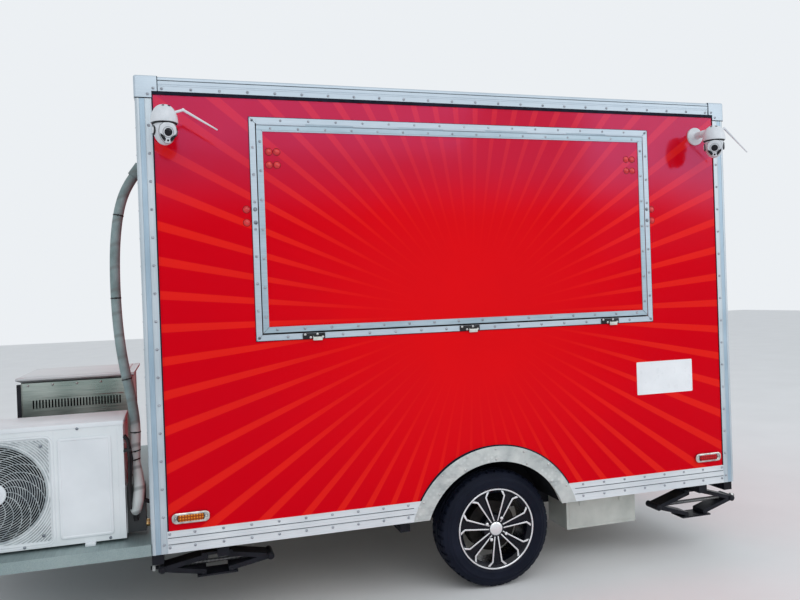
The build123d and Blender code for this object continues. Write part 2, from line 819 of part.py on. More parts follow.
def rim():
    """Barrel and a dished disc with petal openings, each with a raised border, a cap and lug bolts."""
    half = rim_width / 2
    seat = rim_seat_radius
    barrel = about_axle(((rim_lip_radius, -half), (rim_lip_radius, -half + 9), (seat, -half + 14),
                         (seat, half - 14), (rim_lip_radius, half - 9), (rim_lip_radius, half),
                         (rim_lip_radius - 6, half), (seat - 9, half - 14), (seat - 9, -half + 14),
                         (rim_lip_radius - 6, -half)))
    face_y = -half + rim_face_depth
    disc = about_axle(((0.01, face_y + 4), (40.0, face_y + 4), (seat - 4, face_y), (seat - 4, face_y + 16),
                       (70.0, face_y + 26), (70.0, face_y + rim_hub_depth), (0.01, face_y + rim_hub_depth)))
    plane = Plane((axle_x, wheel_mid_y - half - 10, tyre_radius), x_dir=(1, 0, 0), z_dir=(0, -1, 0))
    cutter = extrude(plane * petal(), -rim_width)
    ridge_plane = Plane((axle_x, wheel_mid_y + face_y + 5, tyre_radius), x_dir=(1, 0, 0), z_dir=(0, -1, 0))
    ridge = extrude(ridge_plane * offset(petal(), ridge_width, kind=Kind.INTERSECTION), 7) - cutter
    ridge &= rod((axle_x, wheel_mid_y - half, tyre_radius), (axle_x, wheel_mid_y, tyre_radius),
                 rim_lip_radius - ridge_width)
    axis = Axis((axle_x, 0, tyre_radius), (0, 1, 0))
    turns = [i * 360 / petal_count for i in range(petal_count)]
    for turn in turns:
        disc += ridge.rotate(axis, turn)
    for turn in turns:
        disc -= cutter.rotate(axis, turn)
    bore = rod((axle_x, tyre_inset + 20, tyre_radius), (axle_x, wheel_mid_y + 60, tyre_radius),
               spindle_radius + 4)
    hub_front = wheel_mid_y + face_y + 12
    hub = rod((axle_x, hub_front, tyre_radius), (axle_x, wheel_mid_y + face_y + rim_hub_depth, tyre_radius), 70)
    wheel = (barrel + disc + hub) - bore
    cap_out, cap_in = wheel_mid_y + face_y - 4, wheel_mid_y + face_y + 8
    wheel += rod((axle_x, cap_out, tyre_radius), (axle_x, cap_in, tyre_radius), hub_cap_radius)
    hexagon = RegularPolygon(lug_radius, 6)
    bolt_plane = Plane((axle_x, hub_front + 4, tyre_radius), x_dir=(1, 0, 0), z_dir=(0, -1, 0))
    for turn in lug_turns:
        spot = Pos(lug_circle * cos(radians(turn)), lug_circle * sin(radians(turn)))
        wheel += extrude(bolt_plane * spot * hexagon, hub_front + 4 - cap_out)
    return wheel


def drum():
    y0 = drum_y
    shell = rod((axle_x, y0, tyre_radius), (axle_x, y0 + drum_depth, tyre_radius), drum_radius)
    shell -= rod((axle_x, y0 + 8, tyre_radius), (axle_x, y0 + drum_depth + 1, tyre_radius), drum_radius - 8)
    shell += rod((axle_x, y0, tyre_radius), (axle_x, y0 + drum_depth - 10, tyre_radius), 34)
    return shell - rod((axle_x, y0 - 1, tyre_radius), (axle_x, y0 + drum_depth, tyre_radius),
                       spindle_radius + spindle_fit)


def underfloor_box():
    return block(box_front, box_rear, box_inset, rail_inset, box_bottom, body_bottom)


# Cooling unit

unit_front = unit_rear - unit_length
unit_low = deck_top + unit_foot
unit_top = unit_low + unit_height - unit_foot
valve_cover_low = unit_low + 6


def fan_panel(half, corner, y0, y1):
    """Rounded square plate round the fan's axis."""
    face = Plane((fan_x, y1, fan_z), x_dir=(1, 0, 0), z_dir=(0, -1, 0))
    return extrude(face * RectangleRounded(2 * half, 2 * half, corner), y1 - y0)


def unit_cabinet():
    """Sheet housing with a lipped lid and a recessed fan panel, open at the back over the coil."""
    y0, y1 = unit_inset, unit_inset + unit_depth
    t = unit_sheet
    bay = fan_x + fan_panel_half + 20
    shell = block(unit_front, unit_rear, y0, y1, unit_low, unit_top)
    lip = unit_lid_lip
    shell += block(unit_front - lip, unit_rear + lip, y0 - lip, y1 + lip, unit_top - unit_lid_height, unit_top)
    shell -= block(unit_front + t, bay, y0 + t, y1 + lip + 1, unit_low + t, unit_top - t)
    shell -= block(bay + t, unit_rear - t, y0 + t, y1 - t, unit_low + t, unit_top - t)
    floor_y = y0 + fan_panel_depth
    shell += fan_panel(fan_panel_half + t, fan_panel_corner + t, y0, floor_y + t)
    shell -= fan_panel(fan_panel_half, fan_panel_corner, y0 - 1, floor_y)
    shell += rod((fan_x, floor_y, fan_z), (fan_x, y0 + 40, fan_z), fan_opening + 4)
    shell -= rod((fan_x, y0 - 1, fan_z), (fan_x, y0 + 41, fan_z), fan_opening)
    left, right, low, high = service_panel
    panel_face = Plane(((left + right) / 2, y0 + 1, (low + high) / 2), x_dir=(1, 0, 0), z_dir=(0, -1, 0))
    shell += extrude(panel_face * RectangleRounded(right - left, high - low, service_panel_corner),
                     service_panel_rise + 1)
    motor_y = y0 + fan_motor_back
    shell += block(fan_x - 20, fan_x + 20, motor_y - 6, motor_y + 6, unit_low + t, unit_top - t)
    shell += rod((fan_x, motor_y - 64, fan_z), (fan_x, motor_y, fan_z), fan_motor_radius)
    shell += rod((fan_x, y0 + 40, fan_z), (fan_x, motor_y - 60, fan_z), fan_shaft_radius)
    for place in unit_foot_places:
        x = unit_front + place
        shell += block(x, x + unit_foot_width, y0 - unit_foot_past, y1 + unit_foot_past, deck_top, unit_low + 2)
    half = valve_cover_width / 2
    return shell + block(unit_rear, unit_rear + valve_cover_depth, hose_inset - half, hose_inset + half,
                         valve_cover_low, valve_cover_low + valve_cover_height)


def unit_coil():
    """Finned coil that closes the housing's back and its front end."""
    y1 = unit_inset + unit_depth
    t = unit_sheet
    bay = fan_x + fan_panel_half + 20
    back = block(unit_front + t, bay, y1 - 26, y1 - 4, unit_low + t, unit_top - t)
    return back + block(unit_front + t, unit_front + t + 22, unit_inset + 60, y1 - 26, unit_low + t, unit_top - t)


def unit_grille():
    """Rim seated in the recess, radial wires in the rim's plane and rings in front of them."""
    seat = unit_inset + fan_panel_depth
    layer = seat - wire_size
    grille = rod((fan_x, layer, fan_z), (fan_x, seat, fan_z), fan_opening + 8)
    grille -= rod((fan_x, layer - 1, fan_z), (fan_x, seat + 1, fan_z), fan_opening - 6)
    wire = block(fan_x + grille_hub_radius - 5, fan_x + fan_opening, layer, seat,
                 fan_z - wire_size / 2, fan_z + wire_size / 2)
    axis = Axis((fan_x, 0, fan_z), (0, 1, 0))
    for i in range(grille_wires):
        grille += wire.rotate(axis, i * 360 / grille_wires)
    for i in range(grille_rings):
        radius = grille_hub_radius + (fan_opening - grille_hub_radius) * (i + 0.8) / grille_rings
        ring = rod((fan_x, layer - wire_size, fan_z), (fan_x, layer, fan_z), radius + wire_size / 2)
        grille += ring - rod((fan_x, layer - wire_size - 1, fan_z), (fan_x, layer + 1, fan_z), radius - wire_size / 2)
    return grille + rod((fan_x, layer - wire_size, fan_z), (fan_x, seat, fan_z), grille_hub_radius)


def unit_fan():
    """Hub on the motor's shaft with pitched blades, trimmed to the fan's radius."""
    y0 = unit_inset + 12
    root = fan_hub_radius - 10
    fan = rod((fan_x, y0 + 20, fan_z), (fan_x, y0 + 70, fan_z), fan_hub_radius)
    fan -= rod((fan_x, y0 + 26, fan_z), (fan_x, y0 + 71, fan_z), fan_shaft_radius + hinge_fit)
    sweep_room = rod((fan_x, y0, fan_z), (fan_x, y0 + 100, fan_z), fan_radius)
    blade = Pos(fan_x + root + (fan_radius - root) / 2, y0 + 44, fan_z) * Rot(blade_pitch, 0, 0) * Box(
        fan_radius - root, blade_thick, blade_chord)
    axis = Axis((fan_x, 0, fan_z), (0, 1, 0))
    for i in range(fan_blades):
        fan += (blade & sweep_room).rotate(axis, 360 / fan_blades * i)
    return fan


# Steel cabinet with a flared lid

def steel_cabinet():
    """Open-topped sheet box with a row of upright slots in its serving side."""
    x1 = cabinet_rear
    x0 = x1 - cabinet_length
    y0 = cabinet_inset
    y1 = y0 + cabinet_depth
    top = deck_top + cabinet_height
    t = cabinet_sheet
    box = block(x0, x1, y0, y1, deck_top, top)
    box -= block(x0 + t, x1 - t, y0 + t, y1 - t, deck_top + t, top + 1)
    pitch = (cabinet_length - 2 * slot_margin) / (cabinet_slots - 1 + slot_share)
    for i in range(cabinet_slots):
        x = x0 + slot_margin + i * pitch
        box -= block(x, x + pitch * slot_share, y0 - 1, y0 + t + 1, top - slot_drop[0], top - slot_drop[1])
    return box


def cabinet_lid():
    """Underside flared outward from the box, a thin upright edge and a slightly raised top field."""
    over = 2 * cabinet_lid_overhang
    border = over - 2 * lid_field_border
    base = deck_top + cabinet_height
    centre = Pos(cabinet_rear - cabinet_length / 2, cabinet_inset + cabinet_depth / 2, base)
    edge = centre * Pos(0, 0, lid_flare)
    wide = Rectangle(cabinet_length + over, cabinet_depth + over)
    flare = loft([centre * Rectangle(cabinet_length, cabinet_depth), edge * wide])
    field = Rectangle(cabinet_length + border, cabinet_depth + border)
    return flare + extrude(edge * wide, lid_edge) + extrude(edge * Pos(0, 0, lid_edge) * field, lid_field_rise)


# Hose

def hose_route():
    points = [Vector(x, hose_inset, z) for x, z in hose_points]
    end = Vector(unit_rear + valve_cover_depth / 2, hose_inset, valve_cover_low + valve_cover_height)
    return points + [end + Vector(0, 0, hose_end_run), end]


def bend_radii(points):
    """0.45 of the shorter run over the tangent of half the turn, at each inner point."""
    radii = []
    for before, here, after in zip(points, points[1:], points[2:]):
        turn = radians((here - before).get_angle(after - here))
        shorter = min((here - before).length, (after - here).length)
        radii.append(0.45 * shorter / tan(turn / 2))
    return radii


def hose():
    points = hose_route()
    radii = bend_radii(points)
    print("hose bend radii", [round(r) for r in radii])
    path = FilletPolyline(*points, radius=radii)
    start = Plane(points[0], z_dir=points[1] - points[0])
    tube = sweep(start * Circle(hose_radius), path)
    print("hose volume over section times length",
          round(tube.volume / (pi * hose_radius ** 2 * path.length), 4))
    return tube


def hose_gland():
    """Slanted boot on the front wall that the hose's end butts against."""
    first, second = hose_route()[:2]
    back = first - (second - first)
    boot = rod(tuple(back), tuple(first), hose_boot_radius)
    boot -= block(rail_thick, 200, 0, 500, first.Z - 200, first.Z + 300)
    wall_z = first.Z + (second.Z - first.Z) / (second.X - first.X) * (rail_thick - first.X)
    return boot + rod((rail_thick, hose_inset, wall_z), (-4, hose_inset, wall_z), hose_plate_radius)


# Lamps

def pill(length, height, y0, y1, x, z):
    """Flat bar with round ends in the side wall's plane."""
    middle = block(x - length / 2 + height / 2, x + length / 2 - height / 2, y0, y1, z - height / 2, z + height / 2)
    for side in (-1, 1):
        centre = x + side * (length - height) / 2
        middle += rod((centre, y0, z), (centre, y1, z), height / 2)
    return middle


def marker_bezel(x):
    """Pill-shaped surround with a pocket for the lens."""
    face = rail_thick
    border_x, border_z = marker_border
    outer = pill(marker_length, marker_height, face - marker_depth, face, x, marker_z)
    return outer - pill(marker_length - 2 * border_x, marker_height - 2 * border_z, face - marker_depth - 1,
                        face - marker_seat, x, marker_z)


def marker_lens(x):
    face = rail_thick
    border_x, border_z = marker_border
    return pill(marker_length - 2 * border_x - 1, marker_height - 2 * border_z - 1, face - marker_depth + 3,
                face - marker_seat, x, marker_z)


def tail_lamp():
    """Round lamp: a flat flange, and a lens with sloped edges."""
    y, z = tail_lamp_inset, tail_lamp_z
    flange = rod((skin_rear, y, z), (body_length + 4, y, z), tail_lamp_radius)
    dome = Pos(body_length + 4, y, z) * Rot(0, 90, 0) * Cone(
        tail_lamp_radius - 8, tail_lamp_radius - 14, tail_lamp_rise - 4,
        align=(Align.CENTER, Align.CENTER, Align.MIN))
    return flange + dome


# Security cameras

def security_camera(x):
    """Wall plate, arm, egg-shaped shell and the ball-shaped head held between two cheeks."""
    y, rim = -camera_standoff, camera_rim_z
    rise, radius = camera_shell_rise, camera_shell_radius
    piece = rod((x, rail_thick, camera_arm_z), (x, rail_thick - 14, camera_arm_z), camera_disc_radius)
    piece += rod((x, rail_thick - 12, camera_arm_z), (x, y, camera_arm_z), camera_arm_radius)
    crown = radius * 0.1
    edge = ThreePointArc((radius, 0), (radius * 0.79, rise * 0.62), (crown, rise))
    profile = make_face(edge + Polyline((crown, rise), (0, rise), (0, -8), (radius - 4, -8), (radius, 0)))
    upright = Plane((x, y, rim), x_dir=(1, 0, 0), z_dir=(0, -1, 0))
    piece += revolve(upright * profile, Axis((x, y, rim), (0, 0, 1)), 360)
    piece += Pos(x, y, rim - camera_head_radius) * Sphere(camera_head_radius)
    for side in (-1, 1):
        outer = x + side * (camera_head_radius + camera_cheek_thick)
        inside = outer - side * camera_cheek_thick * 1.5
        half = camera_cheek_width / 2
        piece += block(min(outer, inside), max(outer, inside), y - half, y + half, rim - camera_head_radius, rim - 2)
        piece += rod((inside, y, rim - camera_head_radius), (outer, y, rim - camera_head_radius), half)
    lens_z = rim - camera_head_radius + 4
    return piece + rod((x, y, lens_z), (x + 10, y - camera_head_radius - 3, lens_z - 12), camera_lens_radius)


def antenna(start, elbow, tip):
    """Stub to an elbow, then a rod that tapers to its tip."""
    stub = rod(start, elbow, antenna_radius) + Pos(*elbow) * Sphere(antenna_radius)
    run = Vector(*tip) - Vector(*elbow)
    cone = Cone(antenna_radius, antenna_radius / 2, run.length, align=(Align.CENTER, Align.CENTER, Align.MIN))
    return stub + Plane(elbow, z_dir=run).location * cone


def security_cameras():
    y = -camera_standoff
    x, z = front_camera_x, camera_rim_z
    front = security_camera(x) + antenna((x + 30, y, z + 40), (x + 78, y, z + 56), (x + 218, y, z - 25))
    x = rear_camera_x
    rear = security_camera(x) + antenna((x + 30, y, z + 44), (x + 68, y, z + 64), (x + 212, y, z - 60))
    return [front, rear]


def roof_vent():
    """Square base, round neck, and a rain cap with a brim and a sloped crown."""
    x, y, base = body_length * 0.45, body_width / 2, body_top - rail_thick
    brim_low, brim_high = vent_brim
    vent = Pos(x, y, base + vent_base / 2) * Box(vent_radius * 1.8, vent_radius * 1.8, vent_base)
    vent += rod((x, y, base), (x, y, base + vent_neck_height), vent_radius * 0.72)
    vent += rod((x, y, base + brim_low), (x, y, base + brim_high), vent_radius)
    crown = Cone(vent_radius, vent_radius * 0.45, vent_crown_top - brim_high,
                 align=(Align.CENTER, Align.CENTER, Align.MIN))
    return vent + Pos(x, y, base + brim_high) * crown


os.makedirs("parts", exist_ok=True)

save(serving_wall(), "serving_wall")
save(far_wall(), "far_wall")
save(front_wall(), "front_wall")
save(rear_wall(), "rear_wall")
save(floor(), "floor")
save(roof(), "roof")
save(Compound([wheel_box(), across(wheel_box())]), "wheel_boxes")
save(Compound(all_corners(corner_post())), "corner_posts")
save(Compound(all_corners(corner_cap())), "corner_caps")
save(Compound([side_top_rail(), across(side_top_rail()), front_top_rail(), at_rear(front_top_rail())]), "top_rails")
save(Compound(list(side_bottom_rails().solids()) + list(across(side_bottom_rails()).solids())
              + [front_bottom_rail(), rear_bottom_rail()]), "bottom_rails")
save(Compound([arch_trim(), across(arch_trim())]), "arch_trims")
save(Compound(hatch_frame_trim() + door_frame_trim()), "opening_trims")
save(hatch_panel(), "hatch_panel")
save(Compound(hatch_edge_trim()), "hatch_edge_trim")
save(Compound([hatch_latch(x) for x in latch_centres]), "hatch_latches")
save(Compound([strut_wall_bracket(), at_rear_of_hatch(strut_wall_bracket())]), "strut_wall_brackets")
save(Compound([strut_hatch_bracket(), at_rear_of_hatch(strut_hatch_bracket())]), "strut_hatch_brackets")
save(strut_tube(), "strut_tube_front")
save(at_rear_of_hatch(strut_tube()), "strut_tube_rear")
save(strut_rod(), "strut_rod_front")
save(at_rear_of_hatch(strut_rod()), "strut_rod_rear")
save(door_panel(), "door_panel")
save(Compound(door_edge_trim()), "door_edge_trim")
save(door_handle(), "door_handle")
save(Compound([main_rail(), across(main_rail())]), "main_rails")
save(Compound(crossmembers()), "crossmembers")
save(Compound([tongue_bar(), across(tongue_bar())]), "tongue_frame")
save(front_deck(), "front_deck")
save(coupler(), "coupler")
save(tongue_jack_tube(), "tongue_jack_tube")
save(tongue_jack_leg(), "tongue_jack_leg")
jacks = [scissor_jack(x, outward, base) for x, outward, base in scissor_places]
save(Compound(jacks + [across(jack) for jack in jacks]), "scissor_jacks")
save(axle(), "axle")
save(underfloor_box(), "underfloor_box")
for side, turned in (("left", lambda piece: piece), ("right", across)):
    save(turned(tyre()), f"tyre_{side}")
    save(turned(rim()), f"rim_{side}")
    save(turned(drum()), f"drum_{side}")
save(unit_cabinet(), "condenser_cabinet")
save(unit_coil(), "condenser_coil")
save(unit_grille(), "condenser_grille")
save(unit_fan(), "condenser_fan")
save(steel_cabinet(), "steel_cabinet")
save(cabinet_lid(), "cabinet_lid")
save(hose(), "line_hose")
save(hose_gland(), "hose_gland")
bezels = [marker_bezel(front_marker_x), marker_bezel(rear_marker_x)]
save(Compound(bezels + [across(piece) for piece in bezels]), "marker_bezels")
amber = marker_lens(front_marker_x)
red = marker_lens(rear_marker_x)
save(Compound([amber, across(amber)]), "amber_markers")
save(Compound([red, across(red)]), "red_markers")
save(Compound([tail_lamp(), across(tail_lamp())]), "tail_lamps")
save(Compound(security_cameras()), "security_cameras")
save(roof_vent(), "roof_vent")
print("body front x", body_front_x, "serving face y", serving_face_y)
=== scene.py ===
import json
import math

import bmesh
import bpy
from mathutils import Matrix, Vector

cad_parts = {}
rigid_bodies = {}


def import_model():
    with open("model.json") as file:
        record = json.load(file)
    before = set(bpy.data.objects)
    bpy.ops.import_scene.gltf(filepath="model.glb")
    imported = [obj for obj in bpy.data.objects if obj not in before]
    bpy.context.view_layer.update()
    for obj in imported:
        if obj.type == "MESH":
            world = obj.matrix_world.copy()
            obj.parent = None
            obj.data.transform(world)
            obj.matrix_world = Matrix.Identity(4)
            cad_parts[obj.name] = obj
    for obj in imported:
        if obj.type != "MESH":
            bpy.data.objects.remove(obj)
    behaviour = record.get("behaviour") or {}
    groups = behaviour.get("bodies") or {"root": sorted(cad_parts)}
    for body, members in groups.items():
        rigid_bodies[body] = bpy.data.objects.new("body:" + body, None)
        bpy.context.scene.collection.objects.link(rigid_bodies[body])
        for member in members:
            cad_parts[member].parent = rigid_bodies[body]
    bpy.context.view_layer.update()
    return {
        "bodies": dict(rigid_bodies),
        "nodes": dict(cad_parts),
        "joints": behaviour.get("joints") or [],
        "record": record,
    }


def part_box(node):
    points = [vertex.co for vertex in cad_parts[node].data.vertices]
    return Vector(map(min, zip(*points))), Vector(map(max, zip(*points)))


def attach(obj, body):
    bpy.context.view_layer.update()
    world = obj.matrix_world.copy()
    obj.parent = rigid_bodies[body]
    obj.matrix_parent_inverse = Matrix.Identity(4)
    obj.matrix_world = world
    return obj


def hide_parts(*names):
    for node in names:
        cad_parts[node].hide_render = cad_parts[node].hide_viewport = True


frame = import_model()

# Places are given from the body's lower front corner on the serving side, in metres:
# x rearward from the front face, y inward from the serving side's face, z up from the ground.
postLow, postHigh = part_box("corner_posts")
bodyFront, servingFace, bodyBottom = postLow
bodyLength = postHigh.x - postLow.x
bodyWidth = postHigh.y - postLow.y
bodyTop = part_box("top_rails")[1].z


def place(x, y, z):
    return Vector((bodyFront + x, servingFace + y, z))


# ---- scene helpers

def deselectAll():
    if bpy.context.mode != "OBJECT":
        bpy.ops.object.mode_set(mode="OBJECT")
    bpy.ops.object.select_all(action="DESELECT")


def only(piece):
    deselectAll()
    piece.select_set(True)
    bpy.context.view_layer.objects.active = piece
    return piece


def newest(name):
    piece = bpy.context.object
    piece.name = name
    piece.data.name = name
    return piece


def settle(piece):
    # puts the place into the mesh, so the object sits at the origin
    only(piece)
    bpy.ops.object.transform_apply(location=True, rotation=True, scale=True)
    return piece


def editMesh(piece):
    only(piece)
    bpy.ops.object.mode_set(mode="EDIT")
    bpy.ops.mesh.select_mode(type="VERT")


def selectAll():
    bpy.ops.mesh.select_all(action="SELECT")


def leaveEdit():
    bpy.ops.object.mode_set(mode="OBJECT")


def inset(thickness, depth=0.0):
    bpy.ops.mesh.inset(thickness=thickness, depth=depth)


def discard(*pieces):
    deselectAll()
    for piece in pieces:
        piece.select_set(True)
    bpy.ops.object.delete()


def selectFaces(piece, wanted):
    # wanted(centre, normal) says which faces stay selected
    mesh = bmesh.from_edit_mesh(piece.data)
    bpy.ops.mesh.select_mode(type="FACE")
    for face in mesh.faces:
        face.select_set(wanted(face.calc_center_median(), face.normal))
    mesh.select_flush_mode()
    bmesh.update_edit_mesh(piece.data)


def pickFaces(piece, wanted):
    editMesh(piece)
    selectFaces(piece, wanted)


def selectEdges(piece, wanted):
    mesh = bmesh.from_edit_mesh(piece.data)
    bpy.ops.mesh.select_mode(type="EDGE")
    for edge in mesh.edges:
        edge.select_set(wanted(edge.verts[0].co, edge.verts[1].co))
    mesh.select_flush_mode()
    bmesh.update_edit_mesh(piece.data)


def copyOf(piece, name, matrix=None):
    only(piece)
    bpy.ops.object.duplicate(linked=False)
    twin = newest(name)
    if matrix is not None:
        twin.data.transform(matrix)
        if matrix.determinant() < 0:
            twin.data.flip_normals()
    return twin


def cloudOf(piece, name, matrices):
    # own-mesh copies of one piece
    return [copyOf(piece, f"{name}{i}", matrix) for i, matrix in enumerate(matrices)]


def joined(pieces, name):
    deselectAll()
    for piece in pieces:
        piece.select_set(True)
    bpy.context.view_layer.objects.active = pieces[0]
    if len(pieces) > 1:
        bpy.ops.object.join()
    return newest(name)


def applyModifier(piece, kind, **settings):
    only(piece)
    modifier = piece.modifiers.new(kind.title(), kind)
    for key, value in settings.items():
        setattr(modifier, key, value)
    bpy.ops.object.modifier_apply(modifier=modifier.name)
    return piece


def rowOf(piece, count, step):
    # the piece repeated along a line, one step apart
    return applyModifier(piece, "ARRAY", count=count, use_relative_offset=False, use_constant_offset=True,
        constant_offset_displace=step)


def carve(piece, cutter):
    applyModifier(piece, "BOOLEAN", operation="DIFFERENCE", object=cutter)
    discard(cutter)


def smooth(piece, degrees=35):
    only(piece)
    bpy.ops.object.shade_smooth_by_angle(angle=math.radians(degrees))
    return piece


def finished(piece, mat, body="trailer"):
    piece.data.materials.clear()
    piece.data.materials.append(mat)
    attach(piece, body)
    return piece


def assembled(parts, name, degrees, mat, body="trailer"):
    # parts joined into one smoothed piece
    return finished(smooth(joined(parts, name), degrees), mat, body)


def bar(name, low, high, edge=0.0, steps=2):
    # squared bar between two corners with its edges rounded
    low, high = Vector(low), Vector(high)
    deselectAll()
    bpy.ops.mesh.primitive_cube_add(size=1, location=(low + high) / 2)
    piece = newest(name)
    piece.scale = high - low
    settle(piece)
    if edge:
        editMesh(piece)
        selectAll()
        bpy.ops.mesh.bevel(offset=edge, segments=steps, affect="EDGES")
        leaveEdit()
    return piece


def slab(name, low, high, edge=0.0, steps=2):
    # the same between two places on the body
    return bar(name, place(*low), place(*high), edge, steps)


def facing(direction):
    return Vector((0, 0, 1)).rotation_difference(Vector(direction)).to_euler()


def disc(name, centre, direction, radius, depth, edge=0.0, sides=32):
    # round boss whose outer face looks along direction, starting at centre
    direction = Vector(direction).normalized()
    deselectAll()
    bpy.ops.mesh.primitive_cylinder_add(vertices=sides, radius=radius, depth=depth, location=Vector(centre)
        + direction * depth / 2, rotation=facing(direction))
    piece = settle(newest(name))
    if edge:
        editMesh(piece)
        outer = Vector(centre) + direction * depth
        selectEdges(piece, lambda a, b: abs((a - outer).dot(direction)) < 1e-5
            and abs((b - outer).dot(direction)) < 1e-5)
        bpy.ops.mesh.bevel(offset=edge, segments=2, affect="EDGES")
        leaveEdit()
    return piece


def traced(name, spots, closed=True):
    # outline drawn point by point from one merged plane
    spots = [Vector(spot) for spot in spots]
    deselectAll()
    bpy.ops.mesh.primitive_plane_add(size=0.01, location=spots[0])
    piece = settle(newest(name))
    editMesh(piece)
    selectAll()
    bpy.ops.mesh.merge(type="CENTER")
    for start, end in zip(spots, spots[1:] + spots[:1] if closed else spots[1:]):
        bpy.ops.mesh.extrude_vertices_move(TRANSFORM_OT_translate={"value": end - start})
    selectAll()
    bpy.ops.mesh.remove_doubles(threshold=1e-5)
    selectAll()
    return piece


def mm(*rows):
    # rows of two lengths given in millimetres
    return [(first / 1000, second / 1000) for first, second in rows]


def lathe(name, profile, centre, axis, sides=64, closed=True):
    # profile rows are (radius, distance along the axis from centre)
    centre, axis = Vector(centre), Vector(axis).normalized()
    side = axis.orthogonal().normalized()
    piece = traced(name, [centre + side * r + axis * h for r, h in profile], closed)
    bpy.ops.mesh.spin(steps=sides, angle=math.tau, center=centre, axis=axis)
    selectAll()
    bpy.ops.mesh.remove_doubles(threshold=1e-5)
    selectAll()
    bpy.ops.mesh.normals_make_consistent(inside=False)
    leaveEdit()
    return piece


def plate(name, spots, push, edge=0.0, steps=2):
    # flat outline thickened along push, its edges rounded
    piece = traced(name, spots)
    bpy.ops.mesh.edge_face_add()
    bpy.ops.mesh.extrude_region_move(TRANSFORM_OT_translate={"value": Vector(push)})
    selectAll()
    bpy.ops.mesh.normals_make_consistent(inside=False)
    leaveEdit()
    if edge:
        applyModifier(piece, "BEVEL", width=edge, segments=steps, limit_method="ANGLE",
            angle_limit=math.radians(40))
    return piece


def strip(points, widths):
    # outline of a flat strip of changing width along (u, v) points
    left, right = [], []
    for i, point in enumerate(points):
        here = Vector(point)
        before = (here - Vector(points[i - 1])).normalized() if i else None
        after = (Vector(points[i + 1]) - here).normalized() if i + 1 < len(points) else None
        along = ((before or after) + (after or before)).normalized()
        across = Vector((-along.y, along.x)) * widths[i] / 2 / max(along.dot(before or after), 0.5)
        left.append(here + across)
        right.append(here - across)
    return left + right[::-1]


def turned(points, degrees):
    c, s = math.cos(math.radians(degrees)), math.sin(math.radians(degrees))
    return [(u * c - v * s, u * s + v * c) for u, v in points]


def arc(radius, first, last, count):
    return [(radius * math.cos(math.radians(first + (last - first) * i / (count - 1))),
        radius * math.sin(math.radians(first + (last - first) * i / (count - 1)))) for i in range(count)]


def roundedBox(width, height, corner, count=5):
    # corners of a rounded rectangle about its middle, counterclockwise
    spots = []
    for sideU, sideV, first in ((1, 1, 0), (-1, 1, 90), (-1, -1, 180), (1, -1, 270)):
        for u, v in arc(corner, first, first + 90, count):
            spots.append((sideU * (width / 2 - corner) + u, sideV * (height / 2 - corner) + v))
    return spots


def onSide(points, x, y, z):
    # (u, v) points stood up in the serving side's plane about one place
    return [place(x + u, y, z + v) for u, v in points]


def spinAbout(centre, axis, degrees):
    centre = Vector(centre)
    return (Matrix.Translation(centre) @ Matrix.Rotation(math.radians(degrees), 4, Vector(axis))
        @ Matrix.Translation(-centre))


def mirrorAcross(normal, centre):
    # mirror through a plane square to one of the axes
    size = Matrix.Identity(4)
    size[normal][normal] = -1
    return Matrix.Translation(centre) @ size @ Matrix.Translation(-Vector(centre))


middle = place(bodyLength / 2, bodyWidth / 2, 0)
toFarSide = mirrorAcross(1, middle)
toRear = mirrorAcross(0, middle)
otherCorners = (toFarSide, toRear, toFarSide @ toRear)


def wire(name, spots, radius, round=2, closed=False, widths=None):
    # round wire along straight runs, made a mesh
    deselectAll()
    bpy.ops.curve.primitive_bezier_curve_add(location=(0, 0, 0))
    line = newest(name)
    curve = line.data
    curve.splines.clear()
    spline = curve.splines.new("POLY")
    spline.points.add(len(spots) - 1)
    for i, spot in enumerate(spots):
        spline.points[i].co = (*spot, 1)
        if widths:
            spline.points[i].radius = widths[i]
    spline.use_cyclic_u = closed
    curve.dimensions = "3D"
    curve.bevel_depth = radius
    curve.bevel_resolution = round
    curve.use_fill_caps = not closed
    only(line)
    bpy.ops.object.convert(target="MESH")
    return newest(name)


# ---- materials

def newMaterial(name, color, roughness=0.5, metallic=0.0, coat=0.0, specular=0.5):
    mat = bpy.data.materials.new(name)
    mat.use_nodes = True
    shader = mat.node_tree.nodes["Principled BSDF"]
    shader.inputs["Base Color"].default_value = (*color, 1)
    shader.inputs["Roughness"].default_value = roughness
    shader.inputs["Metallic"].default_value = metallic
    shader.inputs["Coat Weight"].default_value = coat
    shader.inputs["Coat Roughness"].default_value = 0.06
    shader.inputs["Specular IOR Level"].default_value = specular
    return mat


def addNode(mat, kind, **values):
    node = mat.node_tree.nodes.new(kind)
    for key, value in values.items():
        if hasattr(node, key):
            setattr(node, key, value)
        else:
            node.inputs[key].default_value = value
    return node


def link(mat, source, target):
    mat.node_tree.links.new(source, target)


def calc(mat, operation, first, second=None):
    # one Math node; numbers or sockets go in
    node = addNode(mat, "ShaderNodeMath", operation=operation)
    for i, value in enumerate((first, second)):
        if value is None:
            continue
        if isinstance(value, (int, float)):
            node.inputs[i].default_value = value
        else:
            link(mat, value, node.inputs[i])
    return node.outputs[0]


def times(mat, first, second):
    return calc(mat, "MULTIPLY", first, second)


def span(mat, value, fromLow, fromHigh, toLow=0.0, toHigh=1.0, smoothly=False):
    node = addNode(mat, "ShaderNodeMapRange", interpolation_type="SMOOTHSTEP" if smoothly else "LINEAR")
    link(mat, value, node.inputs["Value"])
    for key, number in (("From Min", fromLow), ("From Max", fromHigh), ("To Min", toLow), ("To Max", toHigh)):
        if isinstance(number, (int, float)):
            node.inputs[key].default_value = number
        else:
            link(mat, number, node.inputs[key])
    return node.outputs["Result"]


